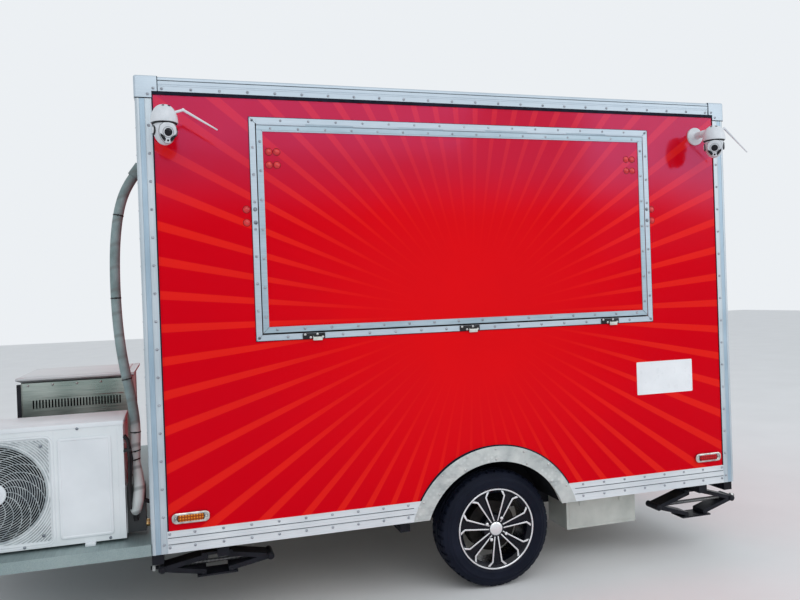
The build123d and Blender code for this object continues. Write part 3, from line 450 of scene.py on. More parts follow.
def mixColors(mat, amount, first, second):
    node = addNode(mat, "ShaderNodeMix", data_type="RGBA")
    for socket, value in ((node.inputs[0], amount), (node.inputs[6], first), (node.inputs[7], second)):
        if isinstance(value, (int, float)):
            socket.default_value = value
        elif isinstance(value, (tuple, list)):
            socket.default_value = (*value, 1)
        else:
            link(mat, value, socket)
    return node.outputs[2]


def objectSpot(mat, stretch=(1, 1, 1), move=(0, 0, 0), turn=(0, 0, 0)):
    spot = addNode(mat, "ShaderNodeTexCoord")
    mapping = addNode(mat, "ShaderNodeMapping")
    mapping.inputs["Scale"].default_value = stretch
    mapping.inputs["Location"].default_value = move
    mapping.inputs["Rotation"].default_value = turn
    link(mat, spot.outputs["Object"], mapping.inputs["Vector"])
    return mapping.outputs["Vector"]


def noise(mat, spot, scale, detail=4.0, rough=0.55):
    node = addNode(mat, "ShaderNodeTexNoise")
    link(mat, spot, node.inputs["Vector"])
    node.inputs["Scale"].default_value = scale
    node.inputs["Detail"].default_value = detail
    node.inputs["Roughness"].default_value = rough
    return node.outputs["Fac"]


def bands(mat, spot, direction, scale):
    # regular stripes across one direction
    node = addNode(mat, "ShaderNodeTexWave", wave_type="BANDS", bands_direction=direction)
    node.inputs["Scale"].default_value = scale
    link(mat, spot, node.inputs["Vector"])
    return node


def splitSpot(mat):
    # the object's own x, y and z as separate sockets
    split = addNode(mat, "ShaderNodeSeparateXYZ")
    link(mat, objectSpot(mat), split.inputs[0])
    return split.outputs


def distance(mat, first, second):
    return calc(mat, "SQRT", calc(mat, "ADD", times(mat, first, first), times(mat, second, second)))


def shaderInput(mat, key):
    return mat.node_tree.nodes["Principled BSDF"].inputs[key]


def intoColor(mat, socket):
    link(mat, socket, shaderInput(mat, "Base Color"))


def intoRoughness(mat, socket):
    link(mat, socket, shaderInput(mat, "Roughness"))


def bump(mat, height, strength, distance):
    node = addNode(mat, "ShaderNodeBump")
    node.inputs["Strength"].default_value = strength
    node.inputs["Distance"].default_value = distance
    link(mat, height, node.inputs["Height"])
    link(mat, node.outputs["Normal"], shaderInput(mat, "Normal"))


def coated(name, color, light, dark, scale, rough, relief, stretch=(1, 1, 1), fine=None, **shine):
    # colour, gloss and surface vary by noise on the object's own coordinates;
    # rough is (least, most), relief is the bump's (strength, distance)
    mat = newMaterial(name, color, **shine)
    spot = objectSpot(mat, stretch)
    cloud = noise(mat, spot, scale)
    intoColor(mat, mixColors(mat, span(mat, cloud, 0.35, 0.65), dark, light))
    intoRoughness(mat, span(mat, noise(mat, spot, scale * 2.3), 0.3, 0.7, *rough))
    bump(mat, noise(mat, spot, fine or scale * 8), *relief)
    return mat


sunburst = {
    "centreX": 1.56, "centreZ": 1.41, "rays": 62, "stretch": 1.02, "phase": 1000.484,
    "startRadius": 0.28, "fullRadius": 1.05, "halfWidth": 0.13, "softness": 0.03,
    "deepRed": (0.64, 0.0008, 0.006), "warmRed": (0.76, 0.005, 0.0065), "rayRed": (0.8, 0.017, 0.01),
    "warmCentreX": 1.55, "warmCentreZ": 1.35, "warmReach": 1.35,
    # heights above the ground between which a painted reflection darkens the red and the gloss comes up
    "upperHeights": (1.9, 2.2), "upperAmount": 0.22, "upperRed": (0.26, 0.0, 0.01),
    "sheenHeights": (1.84, 2.22), "sheenFromTo": (0.05, 0.56), "sheenTint": (0.3, 0.38, 1.0),
    "mottleRed": (0.42, 0.004, 0.012), "backWhite": (0.62, 0.62, 0.6), "sheetEdge": 0.006,
}


def panelRed(name, rays):
    # gloss printed vinyl; rays run out from one centre and fade towards it
    s = sunburst
    mat = newMaterial(name, s["deepRed"], roughness=0.28, specular=0.05)
    centre = place(s["centreX"], 0, s["centreZ"])
    warm = place(s["warmCentreX"], 0, s["warmCentreZ"])
    own = splitSpot(mat)
    warmX = calc(mat, "SUBTRACT", own["X"], warm.x)
    warmZ = calc(mat, "SUBTRACT", own["Z"], warm.z)
    reach = distance(mat, warmX, warmZ)
    color = mixColors(mat, span(mat, reach, 0.15, s["warmReach"], smoothly=True), s["warmRed"], s["deepRed"])
    if rays:
        awayX = calc(mat, "SUBTRACT", own["X"], centre.x)
        awayZ = times(mat, calc(mat, "SUBTRACT", own["Z"], centre.z), s["stretch"])
        radius = distance(mat, awayX, awayZ)
        turns = times(mat, calc(mat, "ARCTAN2", awayZ, awayX), s["rays"] / math.tau)
        phase = calc(mat, "FRACT", calc(mat, "ADD", turns, s["phase"]))
        offCentre = calc(mat, "ABSOLUTE", calc(mat, "SUBTRACT", phase, 0.5))
        width = span(mat, radius, s["startRadius"], s["fullRadius"], s["halfWidth"] * 0.6, s["halfWidth"])
        inner = calc(mat, "SUBTRACT", width, s["softness"] / 2)
        outer = calc(mat, "ADD", width, s["softness"] / 2)
        shape = span(mat, offCentre, inner, outer, 1.0, 0.0, smoothly=True)
        fade = span(mat, radius, s["startRadius"], s["fullRadius"], 0.0, 0.95)
        color = mixColors(mat, times(mat, shape, fade), color, s["rayRed"])
    spread = objectSpot(mat)
    mottle = span(mat, noise(mat, spread, 3.0), 0.3, 0.7, 0.0, 0.1)
    color = mixColors(mat, mottle, color, s["mottleRed"])
    # the panels' inner faces and cut edges are plain white sheet
    cut = s["sheetEdge"]
    low, high = place(cut, cut, 0), place(bodyLength - cut, bodyWidth - cut, 0)
    within = None
    for axis, number, wanted in (("X", low.x, "GREATER_THAN"), ("X", high.x, "LESS_THAN"),
            ("Y", low.y, "GREATER_THAN"), ("Y", high.y, "LESS_THAN")):
        side = calc(mat, wanted, own[axis], number)
        within = side if within is None else times(mat, within, side)
    # painted reflection: the red is darkened towards the top of the panels
    upper = span(mat, own["Z"], *s["upperHeights"], 0.0, s["upperAmount"], smoothly=True)
    color = mixColors(mat, upper, color, s["upperRed"])
    intoColor(mat, mixColors(mat, within, color, s["backWhite"]))
    intoRoughness(mat, span(mat, noise(mat, spread, 9.0), 0.3, 0.7, 0.08, 0.15))
    bump(mat, noise(mat, spread, 2.2, detail=2.0), 0.06, 0.008)
    # the upper part of the panels has kept its gloss, with a violet cast
    edge = calc(mat, "ADD", own["Z"], span(mat, noise(mat, spread, 0.8), 0.3, 0.7, -0.05, 0.05))
    sheen = span(mat, edge, *s["sheenHeights"], *s["sheenFromTo"], smoothly=True)
    link(mat, sheen, shaderInput(mat, "Specular IOR Level"))
    shaderInput(mat, "Specular Tint").default_value = (*s["sheenTint"], 1)
    return mat


servingRed = panelRed("servingVinyl", True)
plainRed = panelRed("plainVinyl", False)
grainScale = 260.0


def brushed(name, light, dark, along, roughLow, roughHigh, metallic):
    # metal with fine lines drawn out along one axis
    mat = newMaterial(name, light, metallic=metallic)
    stretch = tuple(0.03 if axis == along else 1.0 for axis in "xyz")
    lines = objectSpot(mat, stretch)
    cloud = objectSpot(mat)
    soft = noise(mat, cloud, 4.0)
    fine = noise(mat, lines, grainScale, detail=2.0)
    blend = calc(mat, "ADD", times(mat, soft, 0.55), times(mat, fine, 0.45))
    intoColor(mat, mixColors(mat, span(mat, blend, 0.35, 0.65), dark, light))
    intoRoughness(mat, span(mat, blend, 0.35, 0.65, roughLow, roughHigh))
    bump(mat, fine, 0.06, 0.0004)
    return mat


edgeAluminium = brushed("edgeAluminium", (0.52, 0.6, 0.67), (0.41, 0.49, 0.56), "x", 0.34, 0.5, metallic=0.45)
hatchAluminium = brushed("hatchAluminium", (0.43, 0.53, 0.6), (0.31, 0.41, 0.48), "x", 0.3, 0.46,
    metallic=0.5)
deckAluminium = brushed("deckAluminium", (0.34, 0.42, 0.42), (0.2, 0.27, 0.28), "y", 0.42, 0.62,
    metallic=0.45)
zincSteel = brushed("zincSteel", (0.66, 0.67, 0.66), (0.48, 0.49, 0.49), "z", 0.3, 0.45, metallic=0.95)
polishedRod = brushed("polishedRod", (0.86, 0.86, 0.87), (0.76, 0.77, 0.79), "z", 0.06, 0.14, metallic=1.0)
machined = brushed("machinedSilver", (0.9, 0.91, 0.93), (0.78, 0.8, 0.83), "z", 0.16, 0.28, metallic=0.85)


def insideOf(mat, low, high):
    # 1 between two corners, 0 elsewhere
    own, within = splitSpot(mat), None
    for axis, first, last in zip("XYZ", low, high):
        above = calc(mat, "GREATER_THAN", own[axis], first)
        side = times(mat, above, calc(mat, "LESS_THAN", own[axis], last))
        within = side if within is None else times(mat, within, side)
    return within


def stainlessPaintedReflections():
    # brushed sheet with broad upright patches painted lighter and darker as painted reflections of the things
    # round it
    mat = newMaterial("brushedStainless", (0.34, 0.38, 0.37), metallic=0.9)
    soft = noise(mat, objectSpot(mat, (1.0, 1.0, 0.35)), 3.2, detail=1.0)
    lines = noise(mat, objectSpot(mat, (0.03, 1.0, 1.0)), grainScale, detail=2.0)
    blend = calc(mat, "ADD", times(mat, soft, 0.8), times(mat, lines, 0.2))
    color = mixColors(mat, span(mat, blend, 0.36, 0.66), (0.22, 0.29, 0.26), (0.74, 0.8, 0.74))
    # inside the cabinet the sheet is painted near black: painted shade
    margin = Vector((0.0012, 0.0012, 0.0012))
    low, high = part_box("steel_cabinet")
    inside = insideOf(mat, low + margin, high - margin)
    intoColor(mat, mixColors(mat, inside, color, (0.01, 0.012, 0.012)))
    intoRoughness(mat, span(mat, blend, 0.35, 0.65, 0.26, 0.36))
    bump(mat, lines, 0.06, 0.0004)
    return mat


stainless = stainlessPaintedReflections()
sillAluminium = brushed("sillAluminium", (0.76, 0.8, 0.83), (0.62, 0.67, 0.71), "x", 0.34, 0.5, metallic=0.35)
# darker, bluer aluminium of the hollow bands up the posts: painted shade
paintedShadeBandAluminium = brushed("paintedShadeBandAluminium", (0.4, 0.52, 0.62), (0.28, 0.39, 0.48), "z", 0.3, 0.44, metallic=0.4)
lidSteel = brushed("lidSteel", (0.7, 0.72, 0.73), (0.56, 0.58, 0.6), "x", 0.34, 0.46, metallic=0.6)


def mottledSheet():
    # weathered aluminium with cloudy patches, as on the wheel arches
    mat = newMaterial("mottledSheet", (0.62, 0.64, 0.63), metallic=0.6)
    spot = objectSpot(mat)
    patches = addNode(mat, "ShaderNodeTexVoronoi", feature="SMOOTH_F1")
    patches.inputs["Scale"].default_value = 16.0
    patches.inputs["Smoothness"].default_value = 0.6
    link(mat, spot, patches.inputs["Vector"])
    cloud = noise(mat, spot, 11.0, detail=6.0, rough=0.65)
    both = calc(mat, "ADD", times(mat, patches.outputs["Distance"], 0.5), times(mat, cloud, 0.7))
    shade = mixColors(mat, span(mat, both, 0.35, 0.85), (0.66, 0.69, 0.67), (0.42, 0.46, 0.46))
    stains = noise(mat, objectSpot(mat, (1.0, 1.0, 2.2), move=(3.1, 0.0, 0.7)), 5.0, detail=8.0, rough=0.7)
    shade = mixColors(mat, span(mat, stains, 0.54, 0.68, 0.0, 0.65), shade, (0.2, 0.23, 0.25))
    # small lozenges, alternately slanted, stand out of the sheet
    lozenges = None
    for slant in (0.785, -0.785):
        waves = bands(mat, objectSpot(mat, turn=(0, slant, 0)), "X", 12.0)
        lozenges = waves.outputs["Fac"] if lozenges is None else times(mat, lozenges, waves.outputs["Fac"])
    kept = span(mat, noise(mat, spot, 5.0), 0.46, 0.62, 0.0, 0.3, smoothly=True)
    raised = times(mat, span(mat, lozenges, 0.3, 0.6, smoothly=True), kept)
    intoColor(mat, mixColors(mat, raised, shade, (0.84, 0.87, 0.87)))
    intoRoughness(mat, span(mat, both, 0.3, 0.9, 0.3, 0.52))
    bump(mat, calc(mat, "ADD", raised, times(mat, cloud, 0.4)), 0.4, 0.002)
    return mat


archSheet = mottledSheet()
blackSteel = coated("blackSteel", (0.01, 0.011, 0.017), (0.016, 0.017, 0.024), (0.006, 0.007, 0.011), 9.0,
    (0.32, 0.5), (0.15, 0.0006), specular=0.16)
blackPlastic = coated("blackPlastic", (0.014, 0.014, 0.017), (0.026, 0.027, 0.03), (0.014, 0.014, 0.016),
    20.0, (0.4, 0.55), (0.12, 0.0004), fine=900.0, specular=0.2)
caulkBlack = coated("caulkBlack", (0.006, 0.008, 0.018), (0.009, 0.012, 0.026), (0.004, 0.005, 0.012), 30.0,
    (0.45, 0.7), (0.4, 0.001), fine=70.0, specular=0.1)
boxBlack = coated("wheelBoxBlack", (0.008, 0.009, 0.012), (0.013, 0.014, 0.018), (0.005, 0.006, 0.008), 6.0,
    (0.6, 0.8), (0.1, 0.001), specular=0.12)
wheelBlack = coated("wheelGlossBlack", (0.004, 0.005, 0.01), (0.006, 0.007, 0.013), (0.002, 0.003, 0.007),
    14.0, (0.22, 0.32), (0.05, 0.0003), coat=0.08, specular=0.16)
castIron = coated("castIron", (0.022, 0.021, 0.022), (0.034, 0.03, 0.028), (0.012, 0.011, 0.012), 22.0,
    (0.5, 0.75), (0.3, 0.0008), fine=240.0, metallic=0.3, specular=0.2)
greySheet = coated("greySheet", (0.54, 0.57, 0.54), (0.62, 0.64, 0.6), (0.46, 0.49, 0.46), 5.0, (0.35, 0.55),
    (0.08, 0.001), metallic=0.2)
whiteUnit = coated("whitePowderCoat", (0.72, 0.76, 0.79), (0.78, 0.82, 0.85), (0.66, 0.7, 0.73), 2.5,
    (0.34, 0.46), (0.06, 0.0004), fine=600.0)
# where the unit's valve cover begins, and the corners of the room behind its fan, which is painted near black
# as painted shade
coverFrom = -0.1035
fanShadeRoom = ((-0.9035, 0.1075, 0.477), (-0.38, 0.427, 0.999))


def housingWhite():
    # powder coated housing whose valve cover, past its rear end, is dark plastic
    mat = coated("housingWhite", (0.72, 0.77, 0.79), (0.78, 0.82, 0.84), (0.66, 0.71, 0.73), 2.5,
        (0.34, 0.46), (0.06, 0.0004), fine=600.0)
    coat = shaderInput(mat, "Base Color").links[0].from_socket
    beyond = calc(mat, "GREATER_THAN", splitSpot(mat)["X"], place(coverFrom, 0, 0).x)
    color = mixColors(mat, beyond, coat, (0.03, 0.034, 0.038))
    # the room behind the fan is painted near black: painted shade
    inside = insideOf(mat, place(*fanShadeRoom[0]), place(*fanShadeRoom[1]))
    intoColor(mat, mixColors(mat, inside, color, (0.012, 0.013, 0.018)))
    return mat


unitHousing = housingWhite()
grilleShade = coated("grilleGrey", (0.4, 0.44, 0.45), (0.5, 0.55, 0.56), (0.28, 0.32, 0.34), 30.0, (0.4, 0.5),
    (0.05, 0.0004))
whitePlastic = coated("whitePlastic", (0.62, 0.66, 0.7), (0.68, 0.71, 0.75), (0.56, 0.6, 0.64), 12.0,
    (0.24, 0.36), (0.03, 0.0003), coat=0.2)
roofWhite = coated("roofWhite", (0.78, 0.79, 0.78), (0.82, 0.83, 0.82), (0.68, 0.69, 0.68), 2.0, (0.35, 0.5),
    (0.08, 0.002))
signWhite = coated("signWhite", (0.8, 0.83, 0.86), (0.84, 0.87, 0.9), (0.76, 0.79, 0.82), 7.0, (0.25, 0.35),
    (0.04, 0.0005))
fanPlastic = coated("fanPlastic", (0.03, 0.032, 0.045), (0.045, 0.048, 0.064), (0.02, 0.021, 0.03), 10.0,
    (0.35, 0.5), (0.05, 0.0005), specular=0.2)
brass = coated("brass", (0.55, 0.38, 0.16), (0.62, 0.44, 0.2), (0.36, 0.24, 0.1), 60.0, (0.25, 0.45),
    (0.05, 0.0003), metallic=1.0)
chrome = coated("chromeBezel", (0.66, 0.66, 0.62), (0.78, 0.78, 0.74), (0.34, 0.34, 0.33), 30.0, (0.1, 0.22),
    (0.04, 0.0004), metallic=1.0)
lensGlass = newMaterial("lensGlass", (0.004, 0.004, 0.008), roughness=0.06, coat=0.1, specular=0.2)
plywood = coated("coatedPlywood", (0.34, 0.28, 0.2), (0.42, 0.34, 0.24), (0.26, 0.2, 0.14), 3.0, (0.45, 0.65),
    (0.15, 0.0006), stretch=(0.15, 1, 1))


def tyreRubber():
    mat = newMaterial("tyreRubber", (0.006, 0.008, 0.018), specular=0.11)
    spot = objectSpot(mat)
    dust = noise(mat, spot, 7.0, detail=6.0)
    intoColor(mat, mixColors(mat, span(mat, dust, 0.35, 0.75), (0.004, 0.006, 0.014), (0.011, 0.014, 0.027)))
    intoRoughness(mat, span(mat, dust, 0.3, 0.7, 0.46, 0.64))
    bump(mat, noise(mat, spot, 320.0), 0.12, 0.0005)
    return mat


rubber = tyreRubber()


def finnedCoil():
    # thin upright fins crossed by a few tubes; the gaps between the fins are painted dark as painted shade
    mat = newMaterial("finnedCoil", (0.08, 0.09, 0.1), metallic=0.4, specular=0.2)
    spot = objectSpot(mat)
    fins, tubes = bands(mat, spot, "X", 95.0), bands(mat, spot, "Z", 6.3)
    shade = mixColors(mat, span(mat, fins.outputs["Fac"], 0.2, 0.8), (0.02, 0.022, 0.03),
        (0.085, 0.09, 0.105))
    tubeLine = span(mat, tubes.outputs["Fac"], 0.82, 0.95)
    intoColor(mat, mixColors(mat, times(mat, tubeLine, 0.5), shade, (0.14, 0.09, 0.06)))
    intoRoughness(mat, span(mat, fins.outputs["Fac"], 0.0, 1.0, 0.55, 0.3))
    bump(mat, fins.outputs["Fac"], 0.5, 0.0015)
    return mat


coilFins = finnedCoil()


def ribbedLens(name, bright, deep):
    # plastic lens with small ribs; its colour steps between a deep and a bright tone along them as painted
    # highlight and shade
    mat = newMaterial(name, bright, roughness=0.18, coat=0.05, specular=0.2)
    spot = objectSpot(mat)
    ribs, rows = bands(mat, spot, "X", 26.0), bands(mat, spot, "Z", 26.0)
    both = times(mat, ribs.outputs["Fac"], rows.outputs["Fac"])
    intoColor(mat, mixColors(mat, span(mat, both, 0.1, 0.7), deep, bright))
    intoRoughness(mat, span(mat, both, 0.0, 1.0, 0.14, 0.26))
    bump(mat, both, 0.6, 0.003)
    return mat


amberLens = ribbedLens("amberLens", (0.82, 0.27, 0.012), (0.3, 0.05, 0.003))
redLens = ribbedLens("redLens", (0.72, 0.006, 0.012), (0.3, 0.001, 0.004))


def wrappedHose():
    # grey tape wound round soft insulation
    mat = newMaterial("wrappedHose", (0.36, 0.4, 0.39))
    spot = objectSpot(mat, turn=(0.25, 0.2, 0))
    tape = bands(mat, spot, "Z", 3.2)
    tape.inputs["Distortion"].default_value = 1.2
    dirt = noise(mat, objectSpot(mat), 12.0, detail=6.0)
    base = mixColors(mat, span(mat, dirt, 0.3, 0.75), (0.26, 0.34, 0.35), (0.12, 0.17, 0.17))
    # its lower end is wound with newer, paler tape
    base = mixColors(mat, span(mat, splitSpot(mat)["Z"], 0.93, 0.99), (0.58, 0.62, 0.62), base)
    intoColor(mat, mixColors(mat, span(mat, tape.outputs["Fac"], 0.0, 0.12, 0.6, 0.0), base,
        (0.14, 0.16, 0.16)))
    intoRoughness(mat, span(mat, dirt, 0.3, 0.7, 0.5, 0.7))
    bump(mat, tape.outputs["Fac"], 0.5, 0.004)
    return mat


hoseWrap = wrappedHose()

# the modelled nodes that take each finish
cadFinishes = (
    (servingRed, "serving_wall hatch_panel far_wall"),
    (plainRed, "front_wall rear_wall door_panel"),
    (plywood, "floor"),
    (roofWhite, "roof roof_vent"),
    (boxBlack, "wheel_boxes"),
    (edgeAluminium, "corner_posts corner_caps top_rails bottom_rails opening_trims door_edge_trim"),
    (archSheet, "arch_trims"),
    (hatchAluminium, "hatch_edge_trim"),
    (zincSteel, "door_handle strut_wall_brackets strut_hatch_brackets tongue_jack_tube tongue_jack_leg"),
    (blackPlastic, "hatch_latches strut_tube_front strut_tube_rear"),
    (polishedRod, "strut_rod_front strut_rod_rear"),
    (blackSteel, "main_rails crossmembers tongue_frame coupler scissor_jacks axle"),
    (deckAluminium, "front_deck"),
    (greySheet, "underfloor_box"),
    (rubber, "tyre_left tyre_right"),
    (wheelBlack, "rim_left rim_right"),
    (castIron, "drum_left drum_right"),
    (unitHousing, "condenser_cabinet"),
    (coilFins, "condenser_coil"),
    (whiteUnit, "condenser_grille"),
    (fanPlastic, "condenser_fan"),
    (stainless, "steel_cabinet"),
    (lidSteel, "cabinet_lid"),
    (hoseWrap, "line_hose hose_gland"),
    (chrome, "marker_bezels"),
    (amberLens, "amber_markers"),
    (redLens, "red_markers tail_lamps"),
    (whitePlastic, "security_cameras"),
)
for finish, nodes in cadFinishes:
    for node in nodes.split():
        part = frame["nodes"][node]
        if part.material_slots:
            for materialSlot in part.material_slots:
                materialSlot.material = finish
        else:
            part.data.materials.append(finish)
print("materials are on", sum(len(nodes.split()) for finish, nodes in cadFinishes), "nodes")

# ---- camera

viewpoint = {"x": 0.148, "y": -3.435, "z": 1.518, "yaw": 16.747, "pitch": -0.372, "roll": -2.033,
    "lens": 33.3}


def addCamera():
    v = viewpoint
    yaw, pitch, roll = (math.radians(v[key]) for key in ("yaw", "pitch", "roll"))
    ahead = Vector((math.sin(yaw) * math.cos(pitch), math.cos(yaw) * math.cos(pitch), math.sin(pitch)))
    level = Vector((math.cos(yaw), -math.sin(yaw), 0))
    above = level.cross(ahead)
    right = math.cos(roll) * level + math.sin(roll) * above
    up = -math.sin(roll) * level + math.cos(roll) * above
    deselectAll()
    bpy.ops.object.camera_add()
    eye = newest("photoCamera")
    eye.matrix_world = Matrix.Translation(place(v["x"], v["y"], v["z"])) @ Matrix(
        (right, up, -ahead)).transposed().to_4x4()
    eye.data.sensor_width = 36.0
    eye.data.lens = v["lens"]
    bpy.context.scene.camera = eye


addCamera()

# ---- hose from the cooling unit to the front wall

hose = {
    "inset": 0.2, "diameter": 0.045,
    # (x, z) points of its route, from the front wall down to the unit
    "route": ((-0.025, 2.109), (-0.06, 2.06), (-0.097, 1.95), (-0.118, 1.79), (-0.123, 1.6),
              (-0.117, 1.41), (-0.099, 1.24), (-0.07, 1.09), (-0.055, 0.95), (-0.065, 0.8),
              (-0.065, 0.69)),
    "length": 1.46,
}


def addHose():
    h = hose
    deselectAll()
    bpy.ops.curve.primitive_nurbs_path_add(location=(0, 0, 0))
    line = newest("wrappedHose")
    curve = line.data
    curve.splines.clear()
    spline = curve.splines.new("NURBS")
    spline.points.add(len(h["route"]) - 1)
    for i, (x, z) in enumerate(h["route"]):
        spline.points[i].co = (*place(x, h["inset"], z), 1)
        spline.points[i].radius = h["diameter"] / 2
    spline.order_u = 3
    spline.use_endpoint_u = True
    spline.resolution_u = 8
    curve.dimensions = "3D"
    curve.bevel_depth = 1.0
    curve.bevel_resolution = 5
    curve.use_fill_caps = True
    line.data.materials.append(hoseWrap)
    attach(line, "trailer")
    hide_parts("line_hose")
    return line


def lineLength(line):
    # the route's own length, read from its curve
    width = line.data.bevel_depth
    line.data.bevel_depth = 0
    bare = bpy.data.meshes.new_from_object(line.evaluated_get(bpy.context.evaluated_depsgraph_get()))
    line.data.bevel_depth = width
    spots = [v.co.copy() for v in bare.vertices]
    bpy.data.meshes.remove(bare)
    return sum((b - a).length for a, b in zip(spots, spots[1:])), spots


hoseLine = addHose()
bpy.context.view_layer.update()
hoseLength, hoseSpots = lineLength(hoseLine)
print("hose is", round(hoseLength, 3), "m long")

# ---- wheels

wheel = {
    "middleY": 0.1475, "seat": 0.19, "lip": 0.208,
    "rimHalf": 0.083, "faceDepth": 0.008, "petals": 7, "capRadius": 0.0365, "hubRadius": 0.062,
    "ridge": 0.0075, "lugCircle": 0.06, "lugTurns": (60, -30, -120, 150), "treadSteps": 132,
}
axleSpot = (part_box("tyre_left")[0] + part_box("tyre_left")[1]) / 2
inward = Vector((0, 1, 0))
outward = -inward
# the arch is struck about a point behind and below the axle
archShift, archZ = -0.018, 0.274


def addTyre():
    w = wheel
    # (radius, distance from the tyre's middle) down one side, bead to tread
    side = mm((190, 60), (192, 69), (198, 74), (206, 76.5), (209, 80), (212, 81.5), (220, 86.8),
        (221.5, 88.2), (224.5, 88.8), (226, 88.5), (238, 91.8), (248, 92.2), (249.5, 93), (253.5, 92.5),
        (255, 91.2), (266, 88.5), (267.5, 88.8), (270, 87.8), (271, 86.8), (281, 82.5), (289, 77.5),
        (294.5, 71.5), (297.5, 66), (299.5, 56), (293, 55), (293, 48), (300, 47), (300.6, 24), (293.5, 23),
        (293.5, 15), (300.9, 14))
    profile = list(side) + [(r, -y) for r, y in reversed(side)]
    tyre = lathe("tyreServingSide", profile, axleSpot, outward, sides=w["treadSteps"])
    editMesh(tyre)

    def isGroove(centre, normal):
        # every third step of the shoulders and outer ribs is cut deeper
        away = centre - axleSpot
        reach = math.hypot(away.x, away.z)
        step = int(round(math.degrees(math.atan2(away.z, away.x)) / 360 * w["treadSteps"] - 0.5))
        band = abs(away.y)
        return reach > 0.287 and step % 3 == 0 and (0.056 < band < 0.079 or 0.0245 < band < 0.0465)

    selectFaces(tyre, isGroove)
    bpy.ops.mesh.extrude_region_shrink_fatten(TRANSFORM_OT_shrink_fatten={"value": -0.006})
    leaveEdit()
    smooth(tyre, 28)
    other = copyOf(tyre, "tyreFarSide", toFarSide)
    for piece, side in ((tyre, "left"), (other, "right")):
        finished(piece, rubber, "wheel_" + side)
        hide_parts("tyre_" + side)


